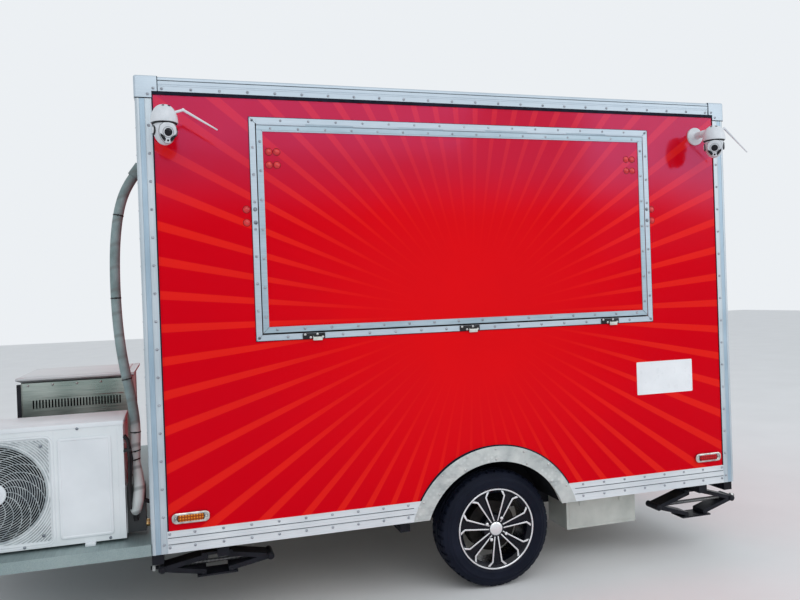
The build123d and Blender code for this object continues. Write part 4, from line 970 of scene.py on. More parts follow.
def addRim():
    w = wheel
    lip = w["lip"]
    face = w["middleY"] - w["rimHalf"] + w["faceDepth"]
    ax, az = axleSpot.x - bodyFront, axleSpot.z
    hub = place(ax, face, az)
    seat, half = w["seat"], w["rimHalf"]
    wheelMiddle = place(ax, w["middleY"], az)
    barrel = lathe("rimBarrel", ((lip - 0.002, half), (lip, half - 0.003), (lip, half - 0.009),
        (seat, half - 0.014), (seat - 0.006, 0.03), (seat - 0.006, -0.03), (seat, 0.014 - half),
        (lip, 0.009 - half), (lip, -half), (lip - 0.006, -half), (seat - 0.009, 0.016 - half),
        (seat - 0.012, -0.03), (seat - 0.012, 0.03), (seat - 0.009, half - 0.02),
        (lip - 0.011, half - 0.004)), wheelMiddle, outward, sides=96)
    ring = lathe("rimLipRing", mm((199, -4), (199.5, 0), (201.5, 1.8), (206, 1.8), (207.8, 0), (207.8, -5)),
        place(ax, w["middleY"] - half, az), outward, sides=96)
    # one spoke between two petals: up the first petal's edge, round the lip, back down the next
    pitch = 360 / w["petals"]
    edgeLine = [(0.052 * lip, 0.22 * lip), (0.25 * lip, 0.79 * lip), (0.17 * lip, 0.945 * lip)]
    nextEdge = turned([(-u, v) for u, v in edgeLine], -pitch)
    rimArc = arc(0.962 * lip, 79.8, 90.2 - pitch + 9.9, 7)
    outline = edgeLine + rimArc[1:-1] + nextEdge[::-1]
    spoke = plate("rimSpoke", onSide(outline, ax, face, az), inward * 0.02, edge=0.0018)
    pickFaces(spoke, lambda c, n: n.y < -0.99 and c.y < servingFace + face + 1e-4)
    inset(0.0055)
    inset(0.002, -0.004)
    leaveEdit()
    ridgeLine = [(0.045 * lip, 0.19 * lip), (0.246 * lip, 0.79 * lip), (0.172 * lip, 0.962 * lip)]
    widths = (0.006, w["ridge"] * 1.1, 0.012)
    ridge = plate("rimRidge", onSide(strip(ridgeLine, widths), ax, face + 0.003, az), outward * 0.0055,
        edge=0.0014)
    otherRidge = copyOf(ridge, "rimRidgeOther", mirrorAcross(0, hub))
    flareLine = ((0.15 * lip, 0.95 * lip), (0.172 * lip, 0.905 * lip), (0.205 * lip, 0.905 * lip),
        (0.262 * lip, 0.925 * lip))
    flare = plate("rimFlare", onSide(flareLine, ax, face + 0.003, az), outward * 0.005, edge=0.0012)
    otherFlare = copyOf(flare, "rimFlareOther", mirrorAcross(0, hub))
    spokes, ridges = [spoke], [ridge, otherRidge, flare, otherFlare]
    shaped = list(ridges)
    for i in range(1, w["petals"]):
        spin = spinAbout(hub, (0, 1, 0), i * pitch)
        spokes.append(copyOf(spoke, f"rimSpoke{i}", spin))
        ridges += [copyOf(piece, f"{piece.name}{i}", spin) for piece in shaped]
    hubDisc = lathe("rimHub", ((0.0, 0.0), (0.04, 0.0), (w["hubRadius"], -0.0015), (w["hubRadius"] + 0.006,
        -0.006), (w["hubRadius"] + 0.008, -0.058), (0.0, -0.058)), hub, outward, sides=64, closed=False)
    cap = lathe("rimCap", ((0.0, 0.0085), (0.012, 0.0082), (0.024, 0.007), (0.031, 0.0055), (0.0345, 0.003),
        (w["capRadius"], -0.001), (w["capRadius"], -0.006)), hub, outward, sides=48, closed=False)
    capGroove = lathe("rimCapRing", ((w["capRadius"] + 0.0005, 0.0005), (w["capRadius"] + 0.003, 0.0015),
        (w["capRadius"] + 0.0055, 0.0002), (w["capRadius"] + 0.0055, -0.003), (w["capRadius"] + 0.0005,
        -0.003)), hub, outward, sides=48)
    silver, black = [ring, cap], [barrel, hubDisc, capGroove] + spokes
    for turn in w["lugTurns"]:
        u, v = turned([(w["lugCircle"], 0)], turn)[0]
        spot = place(ax + u, face - 0.001, az + v)
        black.append(lathe("lugWell", mm((12.5, 0), (12.5, 1.8), (10.8, 2.4), (9.2, 0.5)), spot, outward,
            sides=24))
        bolt = disc("lugBolt", spot, outward, 0.0088, 0.0085, edge=0.0015, sides=6)
        pickFaces(bolt, lambda c, n: n.y < -0.99)
        inset(0.002, 0.0012)
        leaveEdit()
        silver.append(bolt)
    blackRim = smooth(joined(black, "rimServingSide"), 32)
    silverRim = smooth(joined(silver + ridges, "rimFaceServingSide"), 32)
    for side, matrix in (("left", None), ("right", toFarSide)):
        dark = blackRim if matrix is None else copyOf(blackRim, "rimFarSide", matrix)
        bright = silverRim if matrix is None else copyOf(silverRim, "rimFaceFarSide", matrix)
        finished(dark, wheelBlack, "wheel_" + side)
        finished(bright, machined, "wheel_" + side)
        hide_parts("rim_" + side)


addTyre()
addRim()
print("wheels are on")

# ---- screws in the edge trims

screwHead = {"radius": 0.0066, "rise": 0.0044, "sides": 12}


def addScrew(name, spot, direction):
    s = screwHead
    r, h = s["radius"], s["rise"]
    piece = lathe(name, ((0.0, h * 0.45), (r * 0.22, h * 0.45), (r * 0.3, h), (r * 0.7, h * 0.8),
        (r, h * 0.25), (r, -0.0005)), spot, direction, sides=s["sides"], closed=False)
    return smooth(piece, 40)


def screwRow(name, first, last, direction, pitch=0.125):
    # screws spaced evenly from the first place to the last
    first, last = Vector(first), Vector(last)
    gaps = max(1, round((last - first).length / pitch))
    row = addScrew(name, first, direction)
    step = (last - first) / gaps
    return rowOf(row, gaps + 1, step)


hatchLow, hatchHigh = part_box("hatch_edge_trim")
hx0, hx1 = hatchLow.x - bodyFront, hatchHigh.x - bodyFront
hz0, hz1 = hatchLow.z, hatchHigh.z
doorLow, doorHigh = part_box("door_edge_trim")
doorSpan = (doorLow.y - servingFace - 0.035, doorHigh.y - servingFace + 0.032)
# depths of the faces that the screws sit on, and the spacing up the posts
railFace = 0.0
flangeFace = 0.0015
postPitch = 0.1237


def addScrews():
    top, low = bodyTop, bodyBottom
    railZ, postTop, postInset = top - 0.054, top - 0.218, 0.055
    rows = [screwRow("screwsTop", place(0.115, flangeFace, railZ), place(bodyLength - 0.115, flangeFace,
        railZ), outward)]
    for x in (postInset, bodyLength - postInset):
        rows.append(screwRow("screwsPost", place(x, flangeFace, low + 0.04), place(x, flangeFace, postTop),
            outward, postPitch))
    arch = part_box("arch_trims")
    archFrom, archTo = arch[0].x - bodyFront, arch[1].x - bodyFront
    for z in (low + 0.0255, low + 0.0855):
        rows.append(addScrew("screwLow", place(0.079, flangeFace, z), outward))
        for start, end in ((0.187, archFrom - 0.025), (archTo + 0.043, bodyLength - 0.081)):
            rows.append(screwRow("screwsLow", place(start, flangeFace, z), place(end, flangeFace, z),
                outward))
    far = [copyOf(row, row.name + "Far", toFarSide) for row in rows]
    # fixed trim round the hatch
    fx0, fx1, fz0, fz1 = hx0 - 0.0185, hx1 + 0.0185, hz0 - 0.0215, hz1 + 0.0145
    for a, b in (((fx0, fz0), (fx1, fz0)), ((fx0, fz1), (fx1, fz1)), ((fx0, fz0), (fx0, fz1)),
            ((fx1, fz0), (fx1, fz1))):
        rows.append(screwRow("screwsFixedTrim", place(a[0], railFace, a[1]), place(b[0], railFace, b[1]),
            outward, 0.128))
    # front and rear faces
    for x, direction in ((0.0015, (-1, 0, 0)), (bodyLength - 0.0015, (1, 0, 0))):
        rows.append(screwRow("screwsEndTop", place(x, 0.115, railZ), place(x, bodyWidth - 0.115, railZ),
            direction))
        for y in (postInset, bodyWidth - postInset):
            rows.append(screwRow("screwsEndPost", place(x, y, low + 0.04), place(x, y, postTop), direction,
                postPitch))
    finished(joined(rows + far, "trimScrews"), screwGrey, "trailer")


def addHatchScrews():
    edge = 0.0145
    x0, x1, z0, z1 = hx0 + edge, hx1 - edge, hz0 + edge, hz1 - 0.0225
    rows = [screwRow("hatchScrews", place(a[0], railFace, a[1]), place(b[0], railFace, b[1]), outward, 0.13)
        for a, b in (((x0 + 0.05, z0), (x1 - 0.05, z0)), ((x0 + 0.05, z1), (x1 - 0.05, z1)),
        ((x0, z0 + 0.06), (x0, z1 - 0.06)), ((x1, z0 + 0.06), (x1, z1 - 0.06)))]
    finished(joined(rows, "hatchTrimScrews"), screwGrey, "hatch")


def addDoorScrews():
    x = bodyLength
    y0, y1 = doorLow.y - servingFace + 0.0135, doorHigh.y - servingFace - 0.0175
    z0, z1 = doorLow.z + 0.0135, doorHigh.z - 0.0135
    rows = [screwRow("doorScrews", place(x, a[0], a[1]), place(x, b[0], b[1]), (1, 0, 0), 0.135)
        for a, b in (((y0, z0), (y1, z0)), ((y0, z1), (y1, z1)), ((y0, z0 + 0.13), (y0, z1 - 0.13)))]
    finished(joined(rows, "doorTrimScrews"), screwGrey, "door")


def addArchScrews():
    centre = place(axleSpot.x - bodyFront + archShift, 0, archZ)
    master = addScrew("archScrew", centre + Vector((0, 0, 0.452)), outward)
    low = addScrew("archScrewLow", centre + Vector((0, 0, 0.4)), outward)
    pieces = cloudOf(master, "archScrew", [spinAbout(centre, (0, 1, 0), turn) for turn in range(-60, 61, 20)])
    pieces += cloudOf(low, "archScrewLow", [spinAbout(centre, (0, 1, 0), turn) for turn in range(-50, 61,
        25)])
    discard(master, low)
    row = joined(pieces, "archScrews")
    other = copyOf(row, "archScrewsFar", toFarSide)
    finished(joined([row, other], "archScrews"), zincSteel, "trailer")


screwGrey = coated("screwGrey", (0.4, 0.43, 0.47), (0.5, 0.53, 0.58), (0.26, 0.28, 0.32), 90.0, (0.3, 0.5),
    (0.05, 0.0003), metallic=0.6)
addScrews()
addHatchScrews()
addDoorScrews()
addArchScrews()
print("screws are in")

# ---- posts and top rails as ribbed extrusions

# (distance along the face, depth) across one leg, from the rounded corner to the lip
postProfile = mm((13.5, 0), (18, 0), (19.2, 2.4), (40.8, 2.4), (42, 0), (44, 0), (44.8, 1.4), (65.5, 1.4),
    (66.2, 0.4), (70, 0.6), (70, 4))


def addPosts():
    corner = arc(0.0135, 180, 270, 6)
    outline = [(0.0135 + u, 0.0135 + v) for u, v in corner] + [(a, d) for a, d in postProfile[1:]]
    outline += [(0.004, 0.004)] + [(d, a) for a, d in reversed(postProfile[1:])]
    spots = [place(x, y, bodyBottom) for x, y in outline]
    post = plate("cornerPost", spots, (0, 0, bodyTop - 0.004 - bodyBottom))
    posts = [post] + cloudOf(post, "cornerPost", otherCorners)
    piece = assembled(posts, "ribbedPosts", 30, uprightAluminium)
    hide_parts("corner_posts")


railProfile = mm((12, 0), (16, 0), (16.5, 2.8), (19.6, 2.8), (20.1, 0), (34, 0), (34.8, 1.2), (36, 1.2),
    (36.8, 0.3), (42, 0.3), (42.8, 1.4), (68, 1.4), (68.8, 0.4), (72, 0.6), (72, 4))


def addTopRails():
    corner = arc(0.012, 180, 270, 6)
    # across (down from the top, inward from the face)
    outline = [(0.012 + u, 0.012 + v) for u, v in corner] + [(a, d) for a, d in railProfile[1:]]
    outline += [(0.004, 0.004), (0.004, 0.072), (0.0006, 0.072), (0.0, 0.07)]
    end = 0.07
    side = plate("topRailSide", [place(end, inn, bodyTop - down) for down, inn in outline],
        (bodyLength - 2 * end, 0, 0))
    front = plate("topRailFront", [place(inn, end, bodyTop - down) for down, inn in outline],
        (0, bodyWidth - 2 * end, 0))
    rails = [side, copyOf(side, "topRailFar", toFarSide), front, copyOf(front, "topRailRear", toRear)]
    piece = assembled(rails, "ribbedTopRails", 30, edgeAluminium)
    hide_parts("top_rails")


# (height, depth) up a bottom rail's face, from its lower lip
sillProfile = mm((0, 4), (0, 0.6), (0.6, 0), (7.5, 0), (8.2, 1.6), (34, 1.6), (34.8, 0), (36.3, 0), (36.8, 3),
    (40.2, 3), (40.8, 0), (52.5, 0), (53, 1.2), (54.5, 1.2), (55, 0), (65.2, 0), (65.8, 3), (69.2, 3),
    (69.8, 0), (71.2, 0), (72, 1.6), (90, 1.6), (91, 0), (97.5, 0), (98, 0.6), (98, 4))
sillGrooves = ((0.0371, 0.0399), (0.0661, 0.0689))


def addSills():
    # side rails stop at the wheel arch, the rear one at the door
    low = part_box("bottom_rails")[0]
    side = plate("sill", [place(0.07, inn, low.z + up) for up, inn in sillProfile], (bodyLength - 0.14, 0, 0))
    cutter = disc("archCutter", place(axleSpot.x - bodyFront + archShift, 0.05, archZ), outward, 0.466, 0.1,
        sides=128)
    carve(side, cutter)
    front = plate("sillFront", [place(inn, 0.07, low.z + up) for up, inn in sillProfile],
        (0, bodyWidth - 0.14, 0))
    rears = []
    left, right = doorSpan
    for start, end in ((0.07, left), (right, bodyWidth - 0.07)):
        rears.append(plate("sillRear", [place(bodyLength - inn, start, low.z + up)
            for up, inn in sillProfile], (0, end - start, 0)))
    sills = [side, copyOf(side, "sillFar", toFarSide), front] + rears
    piece = assembled(sills, "ribbedSills", 30, sillAluminium)
    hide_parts("bottom_rails")
    # the two deep grooves get dark strips: painted shade
    lines = []
    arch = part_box("arch_trims")
    for bottom, top in sillGrooves:
        for start, end in ((0.072, arch[0].x - bodyFront + 0.004), (arch[1].x - bodyFront - 0.004,
                bodyLength - 0.072)):
            lines.append(slab("sillGroove", (start, 0.0021, low.z + bottom), (end, 0.0033, low.z + top)))
    lines += [copyOf(line, "sillGrooveFar", toFarSide) for line in lines]
    for bottom, top in sillGrooves:
        lines.append(slab("sillGroove", (0.0021, 0.072, low.z + bottom), (0.0033, bodyWidth - 0.072,
            low.z + top)))
        lines.append(slab("sillGroove", (bodyLength - 0.0033, 0.072, low.z + bottom),
            (bodyLength - 0.0021, left - 0.002, low.z + top)))
        lines.append(slab("sillGroove", (bodyLength - 0.0033, right + 0.002, low.z + bottom),
            (bodyLength - 0.0021, bodyWidth - 0.072, low.z + top)))
    finished(joined(lines, "paintedGrooveShade"), grooveShadeAndJointGrey, "trailer")


def addRailBands():
    # hollow band up each leg of a post, painted darker and bluer, and a dark line in the groove below the top
    # rails' rounded edge: both painted shade
    low, top = bodyBottom + 0.001, bodyTop - 0.097
    first, last = 0.0195, 0.0405
    bands = [slab("postBand", (first, 0.0016, low), (last, 0.0023, top)),
        slab("postBand", (0.0016, first, low), (0.0023, last, top))]
    bands += [copyOf(b, "postBand", matrix) for b in bands for matrix in otherCorners]
    finished(joined(bands, "postBands"), paintedShadeBandAluminium, "trailer")
    z0, z1 = bodyTop - 0.0193, bodyTop - 0.0168
    line = slab("railLine", (0.096, 0.0016, z0), (bodyLength - 0.096, 0.0026, z1))
    end = slab("railLine", (0.0016, 0.096, z0), (0.0026, bodyWidth - 0.096, z1))
    lines = [line, copyOf(line, "railLine", toFarSide), end, copyOf(end, "railLine", toRear)]
    finished(joined(lines, "railLines"), grooveShadeAndJointGrey, "trailer")


def addCaps():
    # folded cap over each top corner, rounded where its faces meet
    low = bodyTop - 0.095
    size, thick = 0.095, 0.003
    block = slab("cornerCap", (-thick, -thick, low), (size, size, bodyTop + thick))
    pickFaces(block, lambda c, n: n.z < -0.9 or n.x > 0.9 or n.y > 0.9)
    bpy.ops.mesh.delete(type="FACE")
    leaveEdit()
    applyModifier(block, "BEVEL", width=0.01, segments=4, limit_method="ANGLE")
    applyModifier(block, "SOLIDIFY", thickness=0.0022, offset=-1)
    # notched where it passes from the post on to the rails
    for corners in ((place(0.0715, -0.02, low - 0.01), place(0.12, 0.02, bodyTop - 0.0665)),
            (place(-0.02, 0.0715, low - 0.01), place(0.02, 0.12, bodyTop - 0.0665))):
        carve(block, bar("capNotch", *corners))
    screws = [addScrew("capScrew", place(0.055, -thick, low + 0.014), outward),
        addScrew("capScrew", place(0.079, -thick, low + 0.041), outward)]
    caps = [block] + [copyOf(block, "cap", matrix) for matrix in otherCorners]
    piece = assembled(caps, "foldedCaps", 30, edgeAluminium)
    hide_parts("corner_caps")
    screws += [copyOf(s, "capScrew", matrix) for matrix in otherCorners for s in screws]
    finished(joined(screws, "capScrews"), screwGrey, "trailer")
    # sealed joint under each cap and at its inner edge
    joints = [slab("capJoint", (-0.0008, -0.0008, low - 0.0035), (0.0705, 0.001, low), 0.0004),
        slab("capJoint", (size, -0.0008, bodyTop - 0.076), (size + 0.0035, 0.001, bodyTop), 0.0004)]
    joints += [copyOf(j, "capJoint", matrix) for matrix in otherCorners for j in joints]
    finished(joined(joints, "capJoints"), caulkBlack, "trailer")


# dark grey for painted shade in the grooves, and for the mitre joints
grooveShadeAndJointGrey = coated("grooveShadeAndJointGrey", (0.11, 0.13, 0.15), (0.16, 0.19, 0.21), (0.07, 0.085, 0.1), 14.0,
    (0.5, 0.7), (0.1, 0.0004), specular=0.2)
uprightAluminium = brushed("uprightAluminium", (0.58, 0.65, 0.7), (0.44, 0.51, 0.56), "z", 0.32, 0.48,
    metallic=0.45)
addPosts()
addTopRails()
addSills()
addRailBands()
addCaps()
print("edges are on")

# ---- sealant beads round the panels

def bead(name, low, high):
    # thin black line of sealant between two corners
    return bar(name, low, high, edge=0.0006, steps=1)


def addSealant():
    top, low = bodyTop, bodyBottom
    inner, outer = 0.0705, bodyLength - 0.0705
    beads = [
        bead("sealTop", place(0.07, -0.0004, top - 0.0815), place(bodyLength - 0.07, 0.0038, top - 0.0655)),
        bead("sealPost", place(inner, 0.0002, low + 0.098), place(inner + 0.0055, 0.0042, top - 0.072)),
        bead("sealPost", place(outer - 0.0035, 0.0002, low + 0.098), place(outer, 0.0042, top - 0.072)),
    ]
    beads += [copyOf(b, b.name + "Far", toFarSide) for b in beads]
    x0, x1, z0, z1 = hx0 - 0.0325, hx1 + 0.0325, hz0 - 0.0355, hz1 + 0.028
    beads += [bead("sealHatch", place(a, 0.0005, b), place(c, 0.0042, d)) for a, b, c, d in (
        (x0 - 0.0022, z0 - 0.0022, x1 + 0.0022, z0), (x0 - 0.0022, z1, x1 + 0.0022, z1 + 0.0022),
        (x0 - 0.0022, z0, x0, z1), (x1, z0, x1 + 0.0022, z1))]
    centre = Vector((axleSpot.x + archShift, servingFace, archZ))
    turn0 = math.degrees(math.asin((bodyBottom + 0.098 - archZ) / 0.4665))
    ring = arc(0.4655, turn0, 180 - turn0, 49)
    back = arc(0.4725, 180 - turn0, turn0, 49)
    # the bead is thickest up the front of the arch
    swell = [1.0 + 0.008 * max(0.0, 1.0 - abs(math.degrees(math.atan2(v, u)) - 118) / 32) for u, v in back]
    back = [(u * k, v * k) for (u, v), k in zip(back, swell)]
    archBead = plate("sealArch", [centre + Vector((u, 0.0002, v)) for u, v in ring + back], inward * 0.004)
    beads += [archBead, copyOf(archBead, "sealArchFar", toFarSide)]
    for x, out in ((0.0, -1), (bodyLength, 1)):
        thick = sorted((x + out * 0.0004, x - out * 0.0038))
        beads.append(bead("sealEndTop", place(thick[0], 0.07, top - 0.079), place(thick[1], bodyWidth - 0.07,
            top - 0.066)))
        for y in (0.0705, bodyWidth - 0.0745):
            beads.append(bead("sealEndPost", place(thick[0], y, low + 0.098), place(thick[1], y + 0.004,
                top - 0.072)))
    finished(joined(beads, "sealantBeads"), caulkBlack, "trailer")


def addMitres():
    # the trims' corners are cut at 45 degrees
    for body, name, reach, width, topWidth in (("trailer", "fixedMitres", 0.032, 0.027, 0.027),
            ("hatch", "hatchMitres", 0.0, 0.027, 0.036)):
        x0, x1 = hx0 - reach, hx1 + reach
        z0, z1 = hz0 - (0.035 if reach else 0.0), hz1 + (0.028 if reach else 0.0)
        lines = []
        for x, away in ((x0, 1), (x1, -1)):
            for z, rise, tall in ((z0, 1, width), (z1, -1, topWidth)):
                lines.append(wire("mitre", [place(x + away * 0.0005, -0.0001, z + rise * 0.0005),
                    place(x + away * width, -0.0001, z + rise * tall)], 0.0009, round=1))
        finished(joined(lines, name), grooveShadeAndJointGrey, body)


addSealant()
addMitres()

# ---- bolts of the strut brackets, painted over on the hatch

boltHeads = {
    "hatch": ((0.576, 2.2), (0.612, 2.2), (0.576, 2.14), (0.612, 2.14),
              (2.472, 2.2), (2.508, 2.2), (2.472, 2.14), (2.508, 2.14)),
    "wall": ((0.466, 1.934), (0.466, 1.874), (2.62, 1.934), (2.62, 1.874)),
    "trim": ((0.505, 1.934), (0.505, 1.874), (2.588, 1.934), (2.588, 1.874)),
}


def addBoltHeads():
    # carriage bolt: low dome over a thin washer
    dome = mm((0, 8.5), (4.5, 8.2), (9, 6.8), (12.5, 4.2), (14, 1.8), (15, 1.6), (15.8, 0.8), (15.8, -0.5))
    h = boltHeads
    face = 0.004
    master = smooth(lathe("carriageBolt", dome, place(0, face, 0), outward, sides=28, closed=False), 50)
    # dark ring round each dome's foot: painted shade under the head
    seat = lathe("boltFootShade", mm((15, -0.5), (15, 0.7), (17.6, 0.7), (18, -0.5)), place(0, face, 0), outward,
        sides=28)
    small = smooth(lathe("trimBolt", mm((0, 6.2), (4, 5.8), (6.8, 4), (7.8, 1.2), (9.5, 1), (9.8, -0.5)),
        place(0, 0, 0), outward, sides=20, closed=False), 50)
    for key, model, finish, body, name in (("hatch", master, boltRed, "hatch", "hatchBolts"),
            ("wall", master, boltRed, "trailer", "wallBolts"), ("trim", small, darkZinc, "trailer",
            "trimBolts")):
        copies = [copyOf(model, name, Matrix.Translation((x, 0, z))) for x, z in h[key]]
        finished(joined(copies, name), finish, body)
        if model is master:
            seats = [copyOf(seat, name, Matrix.Translation((x, 0, z))) for x, z in h[key]]
            finished(joined(seats, name + "FootShades"), boltFootShadeRed, body)
    discard(master, seat, small)


boltRed = coated("boltRed", (0.66, 0.012, 0.018), (0.74, 0.02, 0.024), (0.52, 0.006, 0.012), 60.0,
    (0.14, 0.24), (0.08, 0.0004), specular=0.5, coat=0.3)
# dark red of the rings round the bolt heads: painted shade
boltFootShadeRed = coated("boltFootShadeRed", (0.16, 0.002, 0.006), (0.22, 0.003, 0.008), (0.1, 0.001, 0.004), 60.0, (0.4, 0.6),
    (0.08, 0.0004), specular=0.1)
darkZinc = coated("darkZinc", (0.2, 0.23, 0.26), (0.3, 0.33, 0.37), (0.12, 0.14, 0.17), 70.0, (0.26, 0.42),
    (0.06, 0.0003), metallic=0.7)
addBoltHeads()

# ---- blank sign behind the wheel

sign = {"x0": 2.494, "x1": 2.844, "z0": 0.936, "z1": 1.112, "thick": 0.0022}


def addSign():
    s = sign
    width, height = s["x1"] - s["x0"], s["z1"] - s["z0"]
    cx, cz = (s["x0"] + s["x1"]) / 2, (s["z0"] + s["z1"]) / 2
    face = plate("blankSign", onSide(roundedBox(width, height, 0.006), cx, 0.004, cz), outward * s["thick"],
        edge=0.0006)
    finished(face, signWhite, "trailer")


addSign()

# ---- draw latches under the hatch

latchCentres = [(low + high) / 2 for low, high in ((0.702, 0.808), (1.486, 1.592), (2.285, 2.391))]


def addLatches():
    z0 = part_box("hatch_latches")[0].z + 0.009
    dark, pale, drops = [], [], []
    for x in latchCentres:
        dark.append(plate("latchPlate", onSide(roundedBox(0.106, 0.026, 0.003), x, 0.0, z0 + 0.013),
            outward * 0.0046, edge=0.0008))
        dark.append(slab("latchRidge", (x - 0.049, -0.0075, z0 + 0.0105), (x + 0.049, -0.004, z0 + 0.0155),
            0.0012))
        for i, side in enumerate((-0.042, -0.016, 0.016, 0.042)):
            z = z0 + (0.0065 if i % 2 else 0.02)
            head = addScrew("latchScrew", place(x + side, -0.0046, z), outward)
            pale.append(head)
        tab = plate("latchTab", onSide(roundedBox(0.045, 0.017, 0.003), x + 0.0175, -0.005, z0 - 0.0005),
            outward * 0.0038, edge=0.0008)
        drops.append(tab)
        pale.append(wire("latchLoop", [place(x - 0.003, -0.007, z0 + 0.012), place(x - 0.003, -0.007,
            z0 - 0.003), place(x + 0.038, -0.007, z0 - 0.003), place(x + 0.038, -0.007, z0 + 0.012)], 0.0018))
    latches = assembled(dark, "latchPlates", 35, blackPlastic)
    assembled(pale, "latchScrews", 40, zincSteel)
    assembled(drops, "latchTabs", 35, latchPale)
    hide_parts("hatch_latches")


latchPale = coated("latchPale", (0.6, 0.62, 0.58), (0.68, 0.7, 0.66), (0.44, 0.46, 0.43), 40.0, (0.3, 0.5),
    (0.06, 0.0004), metallic=0.5)
addLatches()

# ---- side marker lamps

markerSpots = ((0.172, "amber"), (2.925, "red"))


def addMarkers():
    # chromed bezel with a crowned edge, screws at its ends and a ribbed lens with rows of dots
    length, height, face = 0.164, 0.054, 0.004
    z = 0.563
    bezels, gaskets, lenses = [], [], {"amber": [], "red": []}
    for x, color in markerSpots:
        outline = [(u, v * (1.0 - 0.16 * (abs(u) / (length / 2)) ** 2)) for u, v in roundedBox(length, height,
            0.02, 9)]
        base = plate("markerBezel", onSide(outline, x, face, z), outward * 0.0165, edge=0.005, steps=4)
        editMesh(base)
        front = servingFace + face - 0.0165 + 1e-4
        selectFaces(base, lambda c, n: n.y < -0.99 and c.y < front)
        inset(0.005)
        bpy.ops.mesh.extrude_region_move(TRANSFORM_OT_translate={"value": inward * 0.0045})
        leaveEdit()
        bezels.append(base)
        bezels += [addScrew("markerScrew", place(x + side * 0.066, face - 0.0122, z), outward)
            for side in (-1, 1)]
        gasket = plate("lensGasket", onSide(roundedBox(0.118, 0.035, 0.011, 8), x, face - 0.01, z),
            outward * 0.003, edge=0.0008, steps=1)
        gaskets.append(gasket)
        lens = plate("markerLens", onSide(roundedBox(0.11, 0.029, 0.0085, 8), x, face - 0.01, z),
            outward * 0.0085, edge=0.0035, steps=3)
        dot = lathe("lensDot", mm((0, 2.2), (2.2, 1.8), (4, 0.4), (4.2, -1)), place(x - 0.0475, face - 0.0185,
            z + 0.0062), outward, sides=14, closed=False)
        rowOf(rowOf(dot, 10, (0.0105, 0, 0)), 2, (0, 0, -0.0124))
        lenses[color] += [lens, dot]
    bezel = joined(bezels + [copyOf(b, "markerBezel", toFarSide) for b in bezels], "markerBezels")
    finished(smooth(bezel, 40), chrome, "trailer")
    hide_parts("marker_bezels")
    gaskets += [copyOf(g, "lensGasket", toFarSide) for g in gaskets]
    finished(joined(gaskets, "lensGaskets"), blackPlastic, "trailer")
    for color, finish in (("amber", amberLens), ("red", redLens)):
        both = lenses[color] + [copyOf(piece, "markerLens", toFarSide) for piece in lenses[color]]
        lens = assembled(both, color + "MarkerLenses", 40, finish)
        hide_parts(color + "_markers")


addMarkers()
print("side fittings are on")

# ---- cooling unit on the deck

unit = {
    "front": -0.906, "rear": -0.106, "y0": 0.1, "y1": 0.43, "low": 0.474, "top": 1.002,
    "fanX": -0.635, "fanZ": 0.722, "opening": 0.208, "hub": 0.05, "recess": 0.23, "recessDepth": 0.006,
    "rings": 17, "swirls": 18, "swirlTurn": 62, "wire": 0.0017,
    "panel": (-0.377, -0.157, 0.5, 0.942),
}


